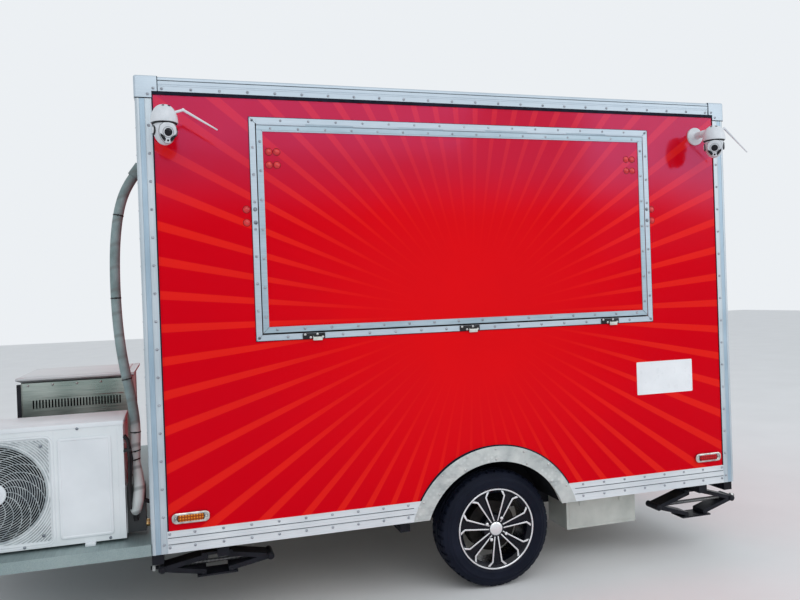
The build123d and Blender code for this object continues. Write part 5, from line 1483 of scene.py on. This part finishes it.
def addFanGrille():
    u = unit
    face = u["y0"] + u["recessDepth"] - 0.002
    centre = place(u["fanX"], face, u["fanZ"])
    parts = []
    step = (u["opening"] - u["hub"]) / u["rings"]
    for i in range(1, u["rings"] + 1):
        r, w = u["hub"] + step * i, u["wire"]
        bulge = 0.0035 * (1 - (i / u["rings"]) ** 2)
        parts.append(lathe("grilleRing", ((r - w, bulge), (r, bulge + w), (r + w, bulge), (r, bulge - w)),
            centre, outward, sides=88))
    spiral = []
    for i in range(9):
        t = i / 8
        r = u["hub"] - 0.002 + (u["opening"] + 0.004 - u["hub"]) * t
        turn = math.radians(u["swirlTurn"] * t ** 1.3)
        spiral.append(place(u["fanX"] + r * math.sin(turn), face + 0.0025 - 0.0035 * (1 - t * t),
            u["fanZ"] + r * math.cos(turn)))
    swirl = wire("grilleSwirl", spiral, 0.0019, round=1)
    parts += [swirl] + cloudOf(swirl, "grilleSwirl", [spinAbout(centre, (0, 1, 0), 360 / u["swirls"] * i)
        for i in range(1, u["swirls"])])
    hub = lathe("grilleHub", ((0.0, 0.0065), (0.03, 0.0062), (0.044, 0.005), (0.049, 0.0025), (u["hub"], 0.0),
        (u["hub"], -0.003)), centre, outward, sides=56, closed=False)
    dimple = lathe("grilleHubRing", mm((28, 6.2), (29.5, 7.5), (31.5, 7.5), (33, 6)), centre, outward,
        sides=48, closed=False)
    rim = lathe("grilleRim", ((u["opening"] - 0.003, 0.0), (u["opening"], 0.0028),
        (u["opening"] + 0.005, 0.0028), (u["opening"] + 0.007, 0.0), (u["opening"] + 0.007, -0.003),
        (u["opening"] - 0.003, -0.003)), centre, outward, sides=96)
    grille = assembled(parts + [rim], "fanGrille", 45, grilleShade)
    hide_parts("condenser_grille")
    assembled([hub, dimple], "fanGrilleHub", 45, whiteUnit)
    # moulded arcs that fill the corners of the square recess
    arcs = []
    for i in range(9):
        r = u["opening"] + 0.014 + i * 0.0098
        arcs.append(lathe("recessArc", ((r, -0.0035), (r, 0.001), (r + 0.004, 0.001), (r + 0.004, -0.0035)),
            centre, outward, sides=96))
    corner = joined(arcs, "recessArcs")
    limit = u["recess"] - 0.01
    for normal in (Vector((1, 0, 0)), Vector((-1, 0, 0)), Vector((0, 0, 1)), Vector((0, 0, -1))):
        editMesh(corner)
        selectAll()
        bpy.ops.mesh.bisect(plane_co=centre + normal * limit, plane_no=normal, clear_outer=True,
            use_fill=True)
        leaveEdit()
    finished(corner, grilleShade, "trailer")
    # raised frame round the recess
    frame = []
    half = u["recess"]
    for offset, rise in ((0.0005, 0.0018), (0.0105, 0.0014)):
        ring = roundedBox(2 * (half + offset), 2 * (half + offset), 0.03 + offset, 8)
        frame.append(wire("recessFrame", onSide(ring, u["fanX"], u["y0"] - 0.0004, u["fanZ"]), rise, round=1,
            closed=True))
    assembled(frame, "recessFrame", 45, whiteUnit)


def addUnitSkin():
    u = unit
    face = u["y0"]
    skin = []
    # lid: rounded cap that laps over the sides
    lid = slab("unitLid", (u["front"] - 0.003, face - 0.003, u["top"] - 0.0185),
        (u["rear"] + 0.003, u["y1"] + 0.003, u["top"] + 0.0008))
    editMesh(lid)
    selectEdges(lid, lambda a, b: min(a.z, b.z) > u["top"] or abs(a.z - b.z) > 0.01)
    bpy.ops.mesh.bevel(offset=0.0055, segments=3, affect="EDGES")
    leaveEdit()
    pickFaces(lid, lambda c, n: n.z < -0.99)
    bpy.ops.mesh.delete(type="FACE")
    selectFaces(lid, lambda c, n: n.z > 0.99 and c.z > u["top"])
    inset(0.03)
    inset(0.006, 0.0025)
    leaveEdit()
    applyModifier(lid, "SOLIDIFY", thickness=0.0012, offset=-1)
    skin.append(lid)
    # service panel with a rolled border and finger recess
    x0, x1, z0, z1 = u["panel"]
    panel = plate("servicePanel", onSide(roundedBox(x1 - x0, z1 - z0, 0.014, 6), (x0 + x1) / 2, face + 0.0005,
        (z0 + z1) / 2), outward * 0.0065, edge=0.0038, steps=3)
    editMesh(panel)
    front = servingFace + face - 0.0055
    selectFaces(panel, lambda c, n: n.y < -0.99 and c.y < front)
    inset(0.007)
    inset(0.0024, -0.0018)
    leaveEdit()
    skin.append(panel)
    # upright fold lines of the housing
    for x in (-0.392, -0.132):
        skin.append(slab("unitFold", (x - 0.001, face - 0.001, u["low"] + 0.012), (x + 0.001, face + 0.0006,
            u["top"] - 0.024), 0.0004, 1))
    # foot rails with rounded toes
    for x in (u["front"] + 0.13, u["rear"] - 0.17):
        foot = slab("unitFoot", (x - 0.002, face - 0.019, 0.4603), (x + 0.042, face + 0.012, 0.4775), 0.004)
        skin.append(foot)
        skin.append(addScrew("footBolt", place(x + 0.02, face - 0.0085, 0.477), (0, 0, 1)))
    assembled(skin, "unitSkin", 35, whiteUnit)
    # screws of the end that faces the wall
    screws = [addScrew("unitScrewEnd", place(u["rear"] + 0.002, y, z), (1, 0, 0)) for y, z in ((0.14, 0.992),
        (0.39, 0.992), (0.118, 0.7), (0.118, 0.9))]
    finished(joined(screws, "unitEndScrews"), screwGrey, "trailer")


def addUnitEnd():
    # stamped louvres on the rear end and the service valves beside them
    u = unit
    rear = u["rear"]
    slat = slab("endLouvre", (rear - 0.0005, 0.285, 0.56), (rear + 0.0075, 0.395, 0.568), 0.003, 3)
    assembled([rowOf(slat, 14, (0, 0, 0.0215))], "unitEndLouvres", 35, whiteUnit)
    # two capped service valves low on the cover
    brassParts, blackParts = [], []
    for y, z, r in ((0.18, 0.505, 0.011), (0.218, 0.505, 0.014)):
        brassParts.append(disc("valveBody", place(rear + 0.08, y, z), (1, 0, 0), r, 0.018, edge=0.002,
            sides=6))
        brassParts.append(disc("valveStem", place(rear + 0.096, y, z), (1, 0, 0), r * 0.6, 0.012, edge=0.0015,
            sides=20))
        blackParts.append(lathe("valveCap", ((0.0, 0.02), (r * 0.7, 0.019), (r * 0.85, 0.016),
            (r * 0.85, 0.0)), place(rear + 0.106, y, z), (1, 0, 0), sides=24, closed=False))
    assembled(brassParts, "valveBodies", 35, brass)
    assembled(blackParts, "valveCaps", 35, blackPlastic)


def addUnitRigging():
    # screws of the front, black pipes down the end and the taped end of the bundle with its two valves
    u = unit
    face = u["y0"]
    screws = [addScrew("unitScrew", place(x, face - 0.0015, z), outward) for x, z in ((-0.444, 0.917),
        (-0.826, 0.917), (-0.826, 0.527), (-0.444, 0.527), (-0.295, 0.981))]
    screws += [addScrew("unitScrew", place(x, face - 0.0005, 0.484), outward) for x in (-0.521, -0.173,
        -0.84)]
    finished(joined(screws, "unitScrews"), darkZinc, "trailer")
    pipes = [wire("unitPipe", [place(-0.104, y, 0.93), place(-0.088, y, 0.905), place(-0.082 + bow, y, 0.82),
        place(-0.088, y, 0.7), place(-0.086, y, 0.6)], radius, round=3) for y, bow, radius in ((0.128, 0.006,
        0.0085), (0.104, -0.002, 0.0065))]
    pipes.append(slab("pipeStrap", (-0.107, 0.098, 0.858), (-0.074, 0.136, 0.87), 0.002))
    bundle = [hoseSpots[-1] + Vector((0.004, -0.004, 0.11)), place(-0.052, 0.172, 0.735),
        place(-0.048, 0.142, 0.685), place(-0.053, 0.129, 0.635), place(-0.066, 0.13, 0.582),
        place(-0.07, 0.133, 0.57)]
    taped = wire("tapedEnd", bundle, 0.025, round=5, widths=[0.7, 0.92, 1.0, 1.02, 0.96, 0.55])
    finished(smooth(taped, 50), hoseWrap, "trailer")
    for spot, lean, r in ((place(-0.068, 0.133, 0.566), Vector((0.15, 0, -1)), 0.0105),
            (place(-0.03, 0.14, 0.628), Vector((0.85, 0, -0.4)), 0.009)):
        along = lean.normalized()
        pipes.append(disc("pipeValve", spot, along, r * 0.8, 0.02, edge=0.0015, sides=20))
        pipes.append(disc("pipeValve", spot + along * 0.008, along, r * 1.25, 0.009, edge=0.0015, sides=6))
        pipes.append(disc("pipeValve", spot + along * 0.018, along, r * 1.05, 0.011, edge=0.0025, sides=20))
    assembled(pipes, "unitPipes", 45, blackPlastic)


addFanGrille()
addUnitSkin()
addUnitEnd()
addUnitRigging()
print("cooling unit is dressed")

# ---- security cameras at the top corners

guardCamera = {
    "front": {"x": 0.123, "turn": 17, "antenna": ((0.03, 0.04), (0.078, 0.056), (0.218, -0.025))},
    "rear": {"x": 2.911, "turn": -38, "antenna": ((0.03, 0.044), (0.068, 0.064), (0.212, -0.06))},
    "y": -0.15, "rim": 2.284, "armZ": 2.334, "tilt": 14, "lensDrop": 0.05, "lensReach": 0.0495,
    # right half of the face plate, from the top to the chin, about the lens
    "face": mm((0, 40), (20, 37), (33, 24), (37, 4), (34.5, -13), (24.5, -32), (11, -45), (0, -47.5)),
    "lampWindow": mm((32.5, -7), (31.8, -17), (22, -32), (12.5, -40), (8.5, -29), (13, -20.5), (23.5, -12)),
}


def addGuardCamera(key, g):
    x, antenna = g[key]["x"], g[key]["antenna"]
    y, rim = g["y"], g["rim"]
    axis = place(x, y, rim)
    up = Vector((0, 0, 1))
    turn, tilt = math.radians(g[key]["turn"]), math.radians(g["tilt"])
    level = Vector((math.sin(turn), -math.cos(turn), 0))
    out = level * math.cos(tilt) - up * math.sin(tilt)
    side = Vector((math.cos(turn), math.sin(turn), 0))
    rise = out.cross(side)
    lens = axis - up * g["lensDrop"] + level * g["lensReach"]

    def onFace(u, v, w=0.0):
        return lens + side * u + rise * v + out * w

    white, dark, glass = [], [], []
    white.append(lathe("cameraFlange", mm((0, 20), (20, 20), (24, 17), (42, 12.5), (47, 9.5), (48, 6),
        (48, 0)), place(x, 0.004, g["armZ"]), outward, sides=48, closed=False))
    white.append(lathe("cameraArm", mm((22, 0), (19, 12), (18, 60), (19.5, 62), (19.5, 68), (18, 70),
        (18.5, 130), (18.5, 150)), place(x, 0.0, g["armZ"]), outward, sides=32, closed=False))
    white.append(lathe("cameraShell", mm((0, 76), (12, 75), (23, 72), (32, 66.2), (41, 56.5), (48.5, 43),
        (53.2, 28.5), (56, 14), (56.8, 2), (56.2, -3), (54.5, -4.2), (52.5, -3), (52, 2), (0, 4)), axis, up,
        sides=64, closed=False))
    dark.append(lathe("cameraGasket", mm((33, 3), (52, 3), (51.6, -7), (49, -9), (33, -9)), axis, up,
        sides=56))
    # egg-shaped head that narrows to a chin
    egg = mm((0, -96), (11, -94.5), (21, -89.5), (30, -81), (38, -69), (43.5, -55), (46.8, -39), (47.5, -23),
        (46.2, -11), (42, -6), (0, -5))
    white.append(lathe("cameraHead", egg, axis, up, sides=48, closed=False))
    half = g["face"]
    outline = [(u, v) for u, v in half] + [(-u, v) for u, v in reversed(half[1:-1])]
    white.append(plate("cameraFace", [onFace(u, v, -0.03) for u, v in outline], out * 0.03, edge=0.005,
        steps=4))
    # dark line round the face plate: painted shade where the face meets the head
    dark.append(wire("faceShadeLine", [onFace(u, v, -0.0065) for u, v in outline], 0.0012, round=1, closed=True))
    # round cheeks where the head turns, each with a dark ring
    for away in (-1, 1):
        spot = axis - up * 0.036 + side * away * 0.044
        dark.append(disc("cheekRing", spot, side * away, 0.02, 0.0052, edge=0.0012, sides=32))
        white.append(disc("cheekCap", spot, side * away, 0.0145, 0.0078, edge=0.0018, sides=32))
    white.append(lathe("lensRing", mm((16.6, -0.4), (17, 3), (20.2, 3.2), (22, -0.4)), onFace(0, 0), out,
        sides=40))
    dark.append(lathe("lensGap", mm((21.8, -0.4), (21.9, 0.6), (22.9, 0.6), (23, -0.4)), onFace(0, 0), out,
        sides=40))
    glass.append(lathe("lensDome", mm((0, 4.4), (7, 3.8), (12.5, 2.4), (17, 0.2)), onFace(0, 0), out,
        sides=40, closed=False))
    for away in (-1, 1):
        window = [onFace(away * u, v, 0.0) for u, v in g["lampWindow"]]
        glass.append(plate("lampWindow", window if away > 0 else window[::-1], out * 0.0014, edge=0.0005))
        for u, v in ((0.0215, -0.0215), (0.017, -0.0325)):
            dark.append(disc("lampBulb", onFace(away * u, v, 0.0012), out, 0.003, 0.0008, edge=0.0003,
                sides=12))
    white.append(lathe("sensorRing", mm((4.8, -0.4), (5, 2.6), (7.8, 2.6), (8.6, -0.4)), onFace(0, -0.0345),
        out, sides=24))
    glass.append(disc("sensorEye", onFace(0, -0.0345), out, 0.005, 0.0014, edge=0.0005, sides=20))
    # slots near the crown
    for away in (-1, 1):
        dark.append(wire("shellSlot", [axis + side * away * 0.017 + level * 0.03 + up * 0.0655,
            axis + side * away * 0.008 + level * 0.033 + up * 0.066], 0.0022, round=1))
    start, elbow, tip = (place(x + u, y, rim + v) for u, v in antenna)
    middle = elbow.lerp(tip, 0.12)
    white.append(wire("antennaStub", [start, elbow], 0.006, round=2))
    white.append(wire("antennaRod", [elbow, middle, tip], 0.006, round=2, widths=[1.0, 0.95, 0.5]))
    white.append(lathe("antennaHinge", mm((0, 7.2), (5, 7), (6.4, 5.5), (6.4, -5.5), (5, -7), (0, -7.2)),
        elbow, outward, sides=20, closed=False))
    return white, dark, glass


def addGuardCameras():
    white, dark, glass = [], [], []
    for key in ("front", "rear"):
        w, d, g = addGuardCamera(key, guardCamera)
        white += w
        dark += d
        glass += g
    shell = assembled(white, "guardCameras", 38, whitePlastic)
    assembled(dark, "guardCameraSeals", 38, blackPlastic)
    assembled(glass, "guardCameraGlass", 38, lensGlass)
    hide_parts("security_cameras")


addGuardCameras()
print("cameras are up")

# ---- steel cabinet and its lid

lidLow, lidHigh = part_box("cabinet_lid")
steelLow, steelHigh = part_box("steel_cabinet")
steelBox = {"flare": 0.012, "edge": 0.012, "field": 0.034, "guard": 0.028, "seamDrop": 0.0045}


def addCabinetLid():
    # underside flares out to a thin rolled edge; the top has a raised field with welded mitres
    b = steelBox
    rim = lidLow.z + b["flare"]
    lid = bar("cabinetLid", (lidLow.x, lidLow.y, rim - 0.0005), (lidHigh.x, lidHigh.y, rim + b["edge"]))
    middleTop = (lidLow + lidHigh) / 2
    pickFaces(lid, lambda c, n: n.z < -0.9)
    bpy.ops.mesh.extrude_region_move(TRANSFORM_OT_translate={"value": (0, 0, -b["flare"] + 0.001)})
    bpy.ops.transform.resize(value=((steelHigh.x - steelLow.x) / (lidHigh.x - lidLow.x),
        (steelHigh.y - steelLow.y) / (lidHigh.y - lidLow.y), 1), center_override=middleTop)
    selectFaces(lid, lambda c, n: n.z > 0.9)
    inset(b["field"])
    inset(0.006, lidHigh.z - rim - b["edge"])
    leaveEdit()
    applyModifier(lid, "BEVEL", width=0.0016, segments=2, limit_method="ANGLE", angle_limit=math.radians(12))
    welds = []
    for x, away in ((lidLow.x, 1), (lidHigh.x, -1)):
        for y, inside in ((lidLow.y, 1), (lidHigh.y, -1)):
            run = b["field"]
            welds.append(wire("lidWeld", [Vector((x + away * 0.002, y + inside * 0.002, rim + b["edge"])),
                Vector((x + away * run, y + inside * run, rim + b["edge"]))], 0.0014, round=1))
    lid = assembled([lid] + welds, "flaredLid", 20, lidSteel)
    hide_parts("cabinet_lid")


def addCabinetTrim():
    b = steelBox
    low, high = steelLow, steelHigh
    # stitched seam under the lid, folded corners and a dark upright strip beside the outer front corner
    seam = bar("lidSeam", (low.x - 0.0012, low.y - 0.0012, high.z - b["seamDrop"]),
        (high.x + 0.0012, high.y + 0.0012, high.z - 0.0002), 0.0005, 1)
    guard = bar("cornerDarkStrip", (low.x - 0.024, low.y + 0.001, low.z + 0.004),
        (low.x + 0.0005, low.y + b["guard"], high.z - 0.01), 0.002)
    assembled([seam, guard], "cabinetSeamAndStrip", 35, blackSteel)
    folds = [wire("cornerFold", [Vector((x, y, low.z + 0.003)), Vector((x, y, high.z - 0.006))], 0.0026,
        round=1) for x in (low.x, high.x) for y in (low.y, high.y)]
    # hems above and below the long slot in the front
    slotTop = high.z - 0.095
    hem = bar("slotHem", (low.x + 0.036, low.y - 0.0012, slotTop + 0.01), (high.x - 0.036, low.y + 0.001,
        slotTop + 0.013), 0.0005, 1)
    otherHem = copyOf(hem, "slotHemLow", Matrix.Translation((0, 0, -0.0655)))
    assembled(folds + [hem, otherHem], "cabinetFolds", 45, stainless)
    spots = ((low.x, low.y, high.x, low.y, outward), (low.x, high.y, high.x, high.y, inward),
        (low.x, low.y, low.x, high.y, Vector((-1, 0, 0))), (high.x, low.y, high.x, high.y, Vector((1, 0, 0))))
    rows = []
    for x0, y0, x1, y1, direction in spots:
        first, last = Vector((x0, y0, high.z - 0.017)), Vector((x1, y1, high.z - 0.017))
        margin = (last - first).normalized() * 0.03
        rows.append(screwRow("cabinetRivets", first + margin, last - margin, direction, 0.11))
    finished(joined(rows, "cabinetRivets"), zincSteel, "trailer")


addCabinetLid()
addCabinetTrim()

# ---- hose ties

def addHoseTies():
    # bands that follow the hose where it bends towards the cover and the wall
    heights = (0.735, 0.797, 0.85, 0.935, 1.18, 1.56, 1.935)
    parts = []
    for z in heights:
        i = min(range(1, len(hoseSpots) - 1), key=lambda k: abs(hoseSpots[k].z - z))
        along = (hoseSpots[i + 1] - hoseSpots[i - 1]).normalized()
        along = (along + Vector((0.22 if z < 0.9 else 0.0, 0, 0))).normalized()
        r = hose["diameter"] / 2
        band = lathe("hoseTie", ((r - 0.001, -0.0028), (r + 0.0012, -0.0026), (r + 0.0014, 0.0026),
            (r - 0.001, 0.0028)), hoseSpots[i], along, sides=32)
        head = bar("tieHead", hoseSpots[i] + Vector((-0.004, -r - 0.0045, -0.0035)),
            hoseSpots[i] + Vector((0.004, -r + 0.0005, 0.0035)), 0.001)
        parts += [band, head]
    return assembled(parts, "hoseTies", 40, blackPlastic)


hoseTies = addHoseTies()
print("hose is tied")

# ---- tail lamps and door hardware

def addTailLamps():
    rings, lenses = [], []
    for y in (0.23, bodyWidth - 0.23):
        spot = place(bodyLength - 0.004, y, 0.64)
        rings.append(lathe("tailLampRing", mm((44, 4), (44.5, 12), (47.5, 13.5), (51, 10.5), (52, 6),
            (52, 0)), spot, (1, 0, 0), sides=56))
        lenses.append(lathe("tailLens", mm((0, 21.5), (14, 21.2), (14.5, 20.3), (16, 20.3), (16.5, 20.8),
            (27, 20), (27.5, 19.1), (29, 19.1), (29.5, 19.6), (39, 18), (43, 15), (44.2, 10), (44.2, 0)),
            spot, (1, 0, 0), sides=56, closed=False))
        bulb = lathe("lampDot", mm((0, 2), (2.2, 1.6), (3.6, 0.2), (3.6, -2)),
            spot + Vector((0.019, 0, 0.034)), (1, 0, 0), sides=12, closed=False)
        lenses += [bulb] + cloudOf(bulb, "lampDot", [spinAbout(spot, (1, 0, 0), 30 * i) for i in range(1,
            12)])
    assembled(rings, "tailLampRings", 40, chrome)
    lens = assembled(lenses, "tailLampLenses", 40, redLens)
    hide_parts("tail_lamps")


def addDoorHandle():
    y, z = 0.938, 1.45
    face = bodyLength - 0.004
    parts = [
        plate("handlePlate", [place(face, y + u, z + v) for u, v in roundedBox(0.06, 0.16, 0.014, 6)],
              (0.006, 0, 0), edge=0.002, steps=3),
        lathe("handleNeck", mm((19, 0), (18.5, 8), (12.5, 12), (11, 34), (13, 40), (13, 48), (0, 49)),
            place(face, y, z), (1, 0, 0), sides=32, closed=False),
    ]
    grip = slab("handleLever", (bodyLength + 0.03, y - 0.014, z - 0.01), (bodyLength + 0.0445, y + 0.11,
        z + 0.01))
    pickFaces(grip, lambda c, n: n.y > 0.9)
    bpy.ops.transform.resize(value=(0.8, 1, 0.75), center_override=place(bodyLength + 0.037, y + 0.11, z))
    leaveEdit()
    applyModifier(grip, "BEVEL", width=0.0045, segments=3, limit_method="ANGLE")
    parts.append(grip)
    parts.append(lathe("keyBarrel", mm((0, 11), (8.5, 10.8), (10, 9.2), (10.5, 0)), place(face, y, z - 0.052),
        (1, 0, 0), sides=28, closed=False))
    parts += [addScrew("handleScrew", place(face + 0.006, y, z + side * 0.069), (1, 0, 0)) for side in (-1,
        1)]
    handle = assembled(parts, "doorLever", 38, zincSteel, body="door")
    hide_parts("door_handle")
    slot = slab("keySlot", (face + 0.0105, y - 0.0009, z - 0.057), (face + 0.0113, y + 0.0009, z - 0.047),
        0.0003, 1)
    finished(slot, caulkBlack, "door")


addTailLamps()
addDoorHandle()
print("rear fittings are on")

# ---- tongue, jacks and underside

def addTongueDetails():
    nose = -1.5
    mid = bodyWidth / 2
    dark, pale, grip = [], [], []
    # coupler latch: cranked lever on top of the nose with its pin
    top = 0.394
    lever = plate("latchLever", [place(nose + u, mid - 0.011, top + v) for u, v in (
        (0.02, 0.0), (0.06, 0.0), (0.08, 0.012), (0.128, 0.012), (0.128, 0.021), (0.074, 0.021),
        (0.052, 0.013), (0.02, 0.013))], inward * 0.022, edge=0.0018)
    pale.append(lever)
    pale.append(disc("latchPin", place(nose + 0.04, mid - 0.03, top + 0.0045), inward, 0.0045, 0.06,
        edge=0.001, sides=20))
    dark.append(lathe("couplerRim", mm((43.5, 0), (46.2, 1.5), (46.6, 8), (44, 9.5)), place(nose + 0.045, mid,
        0.328), (0, 0, 1), sides=48))
    # bolts of the gusset plate and the jack flange
    for back, across in ((0.15, 0.03), (0.33, 0.095), (0.445, 0.15)):
        for y in (mid - across, mid + across):
            pale.append(disc("gussetBolt", place(nose + back, y, 0.418), (0, 0, 1), 0.0105, 0.008,
                edge=0.0015, sides=6))
    jackX = -1.09
    for turn in (45, 135, 225, 315):
        u, v = turned([(0.053, 0)], turn)[0]
        pale.append(disc("flangeBolt", place(jackX + u, mid + v, 0.43), (0, 0, 1), 0.008, 0.0065, edge=0.0012,
            sides=6))
    # rings welded round the jack's tube, and the crank's rubber grip
    pale += [lathe("jackCollar", mm((30, -4), (34.5, -3), (34.5, 3), (30, 4)), place(jackX, mid, z),
        (0, 0, 1), sides=40) for z in (0.56, 0.33)]
    ribs = [(0.0145 if i % 2 else 0.0155, 0.004 + i * 0.0085) for i in range(12)]
    grip.append(lathe("crankGrip", [(0.0, 0.0)] + [(0.0135, 0.0)] + ribs + [(0.013, 0.104), (0.0, 0.1065)],
        place(jackX, mid + 0.142, 0.9265), (0, 0, 1), sides=28, closed=False))
    assembled(dark, "couplerRim", 38, blackSteel)
    assembled(pale, "tongueHardware", 38, zincSteel)
    assembled(grip, "crankGrip", 38, rubber)


def addScissorDetails():
    # threaded screw with its nut, and rivets at the knuckles and arms
    dark, pale = [], []
    half = 0.245
    for x, outwards, foot in ((0.284, -1, 0.254), (2.92, 1, 0.206)):
        mid = (0.36 + foot) / 2
        thread = lathe("jackThread", mm((8.8, -1.8), (10.6, 0), (8.8, 1.8)), place(x - 0.19, 0.15, mid),
            (1, 0, 0), sides=14)
        pale.append(rowOf(thread, 64, (0.006, 0, 0)))
        pale.append(disc("jackNut", place(x + outwards * (half + 0.03), 0.15, mid), (outwards, 0, 0), 0.015,
            0.014, edge=0.002, sides=6))
        for side in (-1, 1):
            for y in (0.0975, 0.2025):
                dark.append(lathe("kneeRivet", mm((0, 4), (8, 3.4), (12, 1.2), (13.5, -1)),
                    place(x + side * half, y, mid), (0, -1 if y < 0.15 else 1, 0), sides=20, closed=False))
            for z, reach in ((0.352, 0.052), (foot + 0.012, 0.064)):
                for y in (0.104, 0.196):
                    dark.append(lathe("armRivet", mm((0, 3.2), (6.5, 2.8), (9.5, 0.8), (10, -1)),
                        place(x + side * reach, y, z), (0, -1 if y < 0.15 else 1, 0), sides=16, closed=False))
    dark += [copyOf(d, d.name + "Far", toFarSide) for d in dark]
    pale += [copyOf(d, d.name + "Far", toFarSide) for d in pale]
    assembled(dark, "jackRivets", 40, blackSteel)
    assembled(pale, "jackScrews", 40, zincSteel)


def addUndersideDetails():
    # door of the box under the floor, with its catches and hems
    parts, box = [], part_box("underfloor_box")
    x0, x1 = box[0].x - bodyFront, box[1].x - bodyFront
    y0, z0, z1 = box[0].y - servingFace, box[0].z, box[1].z
    face = plate("boxDoor", onSide(roundedBox(x1 - x0 - 0.03, z1 - z0 - 0.04, 0.01, 5), (x0 + x1) / 2,
        y0 + 0.0008, (z0 + z1) / 2 - 0.006), outward * 0.0022, edge=0.001)
    parts.append(face)
    for x in (x0 + 0.09, x1 - 0.09):
        parts.append(plate("boxCatch", onSide(roundedBox(0.026, 0.04, 0.004, 3), x, y0 - 0.0012, z1 - 0.06),
            outward * 0.0045, edge=0.0012))
    for z in (z0 + 0.004, z1 - 0.004):
        parts.append(slab("boxHem", (x0, y0 - 0.0012, z - 0.004), (x1, y0 + 0.001, z + 0.004), 0.0008))
    assembled(parts, "boxFront", 35, greySheet)


addTongueDetails()
addScissorDetails()
addUndersideDetails()
print("underside is dressed")

# ---- roof: seams and vent fins

def addRoofDetails():
    parts = []
    for x in (0.62, 1.24, 1.86, 2.48):
        seam = slab("roofSeam", (x - 0.016, 0.074, bodyTop - 0.0042), (x + 0.016, bodyWidth - 0.074,
            bodyTop - 0.0026), 0.0007)
        parts.append(seam)
    vx, vy, base = bodyLength * 0.45, bodyWidth / 2, bodyTop - 0.004
    for i in range(3):
        z = base + 0.02 + i * 0.018
        parts.append(lathe("ventLouvre", ((0.129, z), (0.136, z - 0.004), (0.137, z - 0.002),
            (0.13, z + 0.003)), place(vx, vy, 0), (0, 0, 1), sides=48))
    parts.append(lathe("ventCrownRing", mm((80.5, 128.5), (83, 130), (79.5, 132.5), (77, 130.5)),
        place(vx, vy, base), (0, 0, 1), sides=48))
    for turn in (0, 120, 240):
        u, v = turned([(0.15, 0)], turn)[0]
        parts.append(addScrew("ventScrew", place(vx + 0.15 * (1 if u > 0 else -1), vy + v, base + 0.012),
            (0, 0, 1)))
    assembled(parts, "roofSeams", 38, roofWhite)


addRoofDetails()
print("roof is dressed")

# ---- floor and light

studio = {
    "floorSize": 60.0, "floorColor": (0.84, 0.85, 0.86), "worldColor": (0.92, 0.96, 1.0),
        "worldStrength": 0.74,
    "skyAbove": (0.2, -9.5, 8.5), "skySize": 10.0, "skyPower": 330.0,
    "sideLight": (8.0, -7.5, 4.5), "sideSize": 5.0, "sidePower": 115.0,
}


def addStudio():
    s = studio
    deselectAll()
    bpy.ops.mesh.primitive_plane_add(size=s["floorSize"], location=(0, 0, -0.0005))
    ground = settle(newest("studioFloor"))
    pale = newMaterial("studioFloorPale", s["floorColor"], roughness=0.8, specular=0.2)
    spot = objectSpot(pale)
    intoColor(pale, mixColors(pale, span(pale, noise(pale, spot, 1.5), 0.3, 0.7), s["floorColor"],
        tuple(c * 0.96 for c in s["floorColor"])))
    ground.data.materials.append(pale)
    world = bpy.context.scene.world or bpy.data.worlds.new("studioWorld")
    bpy.context.scene.world = world
    world.use_nodes = True
    nodes, links = world.node_tree.nodes, world.node_tree.links
    lit = nodes["Background"]
    lit.inputs["Color"].default_value = (*s["worldColor"], 1)
    lit.inputs["Strength"].default_value = s["worldStrength"]
    shown = nodes.new("ShaderNodeBackground")
    shown.inputs["Color"].default_value = (0.84, 0.87, 0.9, 1)
    shown.inputs["Strength"].default_value = 1.0
    ray = nodes.new("ShaderNodeLightPath")
    mirrored = nodes.new("ShaderNodeMath")
    mirrored.operation = "MAXIMUM"
    links.new(ray.outputs["Is Glossy Ray"], mirrored.inputs[0])
    links.new(ray.outputs["Is Transmission Ray"], mirrored.inputs[1])
    either = nodes.new("ShaderNodeMath")
    either.operation = "MAXIMUM"
    links.new(ray.outputs["Is Camera Ray"], either.inputs[0])
    links.new(mirrored.outputs[0], either.inputs[1])
    pick = nodes.new("ShaderNodeMixShader")
    links.new(either.outputs[0], pick.inputs["Fac"])
    links.new(lit.outputs[0], pick.inputs[1])
    links.new(shown.outputs[0], pick.inputs[2])
    links.new(pick.outputs[0], nodes["World Output"].inputs["Surface"])
    for name, spotAt, size, power in (("skyLight", s["skyAbove"], s["skySize"], s["skyPower"]),
            ("sideLight", s["sideLight"], s["sideSize"], s["sidePower"])):
        deselectAll()
        bpy.ops.object.light_add(type="AREA", location=spotAt)
        lamp = newest(name)
        lamp.data.size = size
        lamp.data.energy = power
        lamp.rotation_euler = (Vector((0, 0, 1.2)) - Vector(spotAt)).to_track_quat("-Z", "Y").to_euler()


addStudio()
scene = bpy.context.scene
scene.view_settings.view_transform = "Standard"
print("floor and light are set")
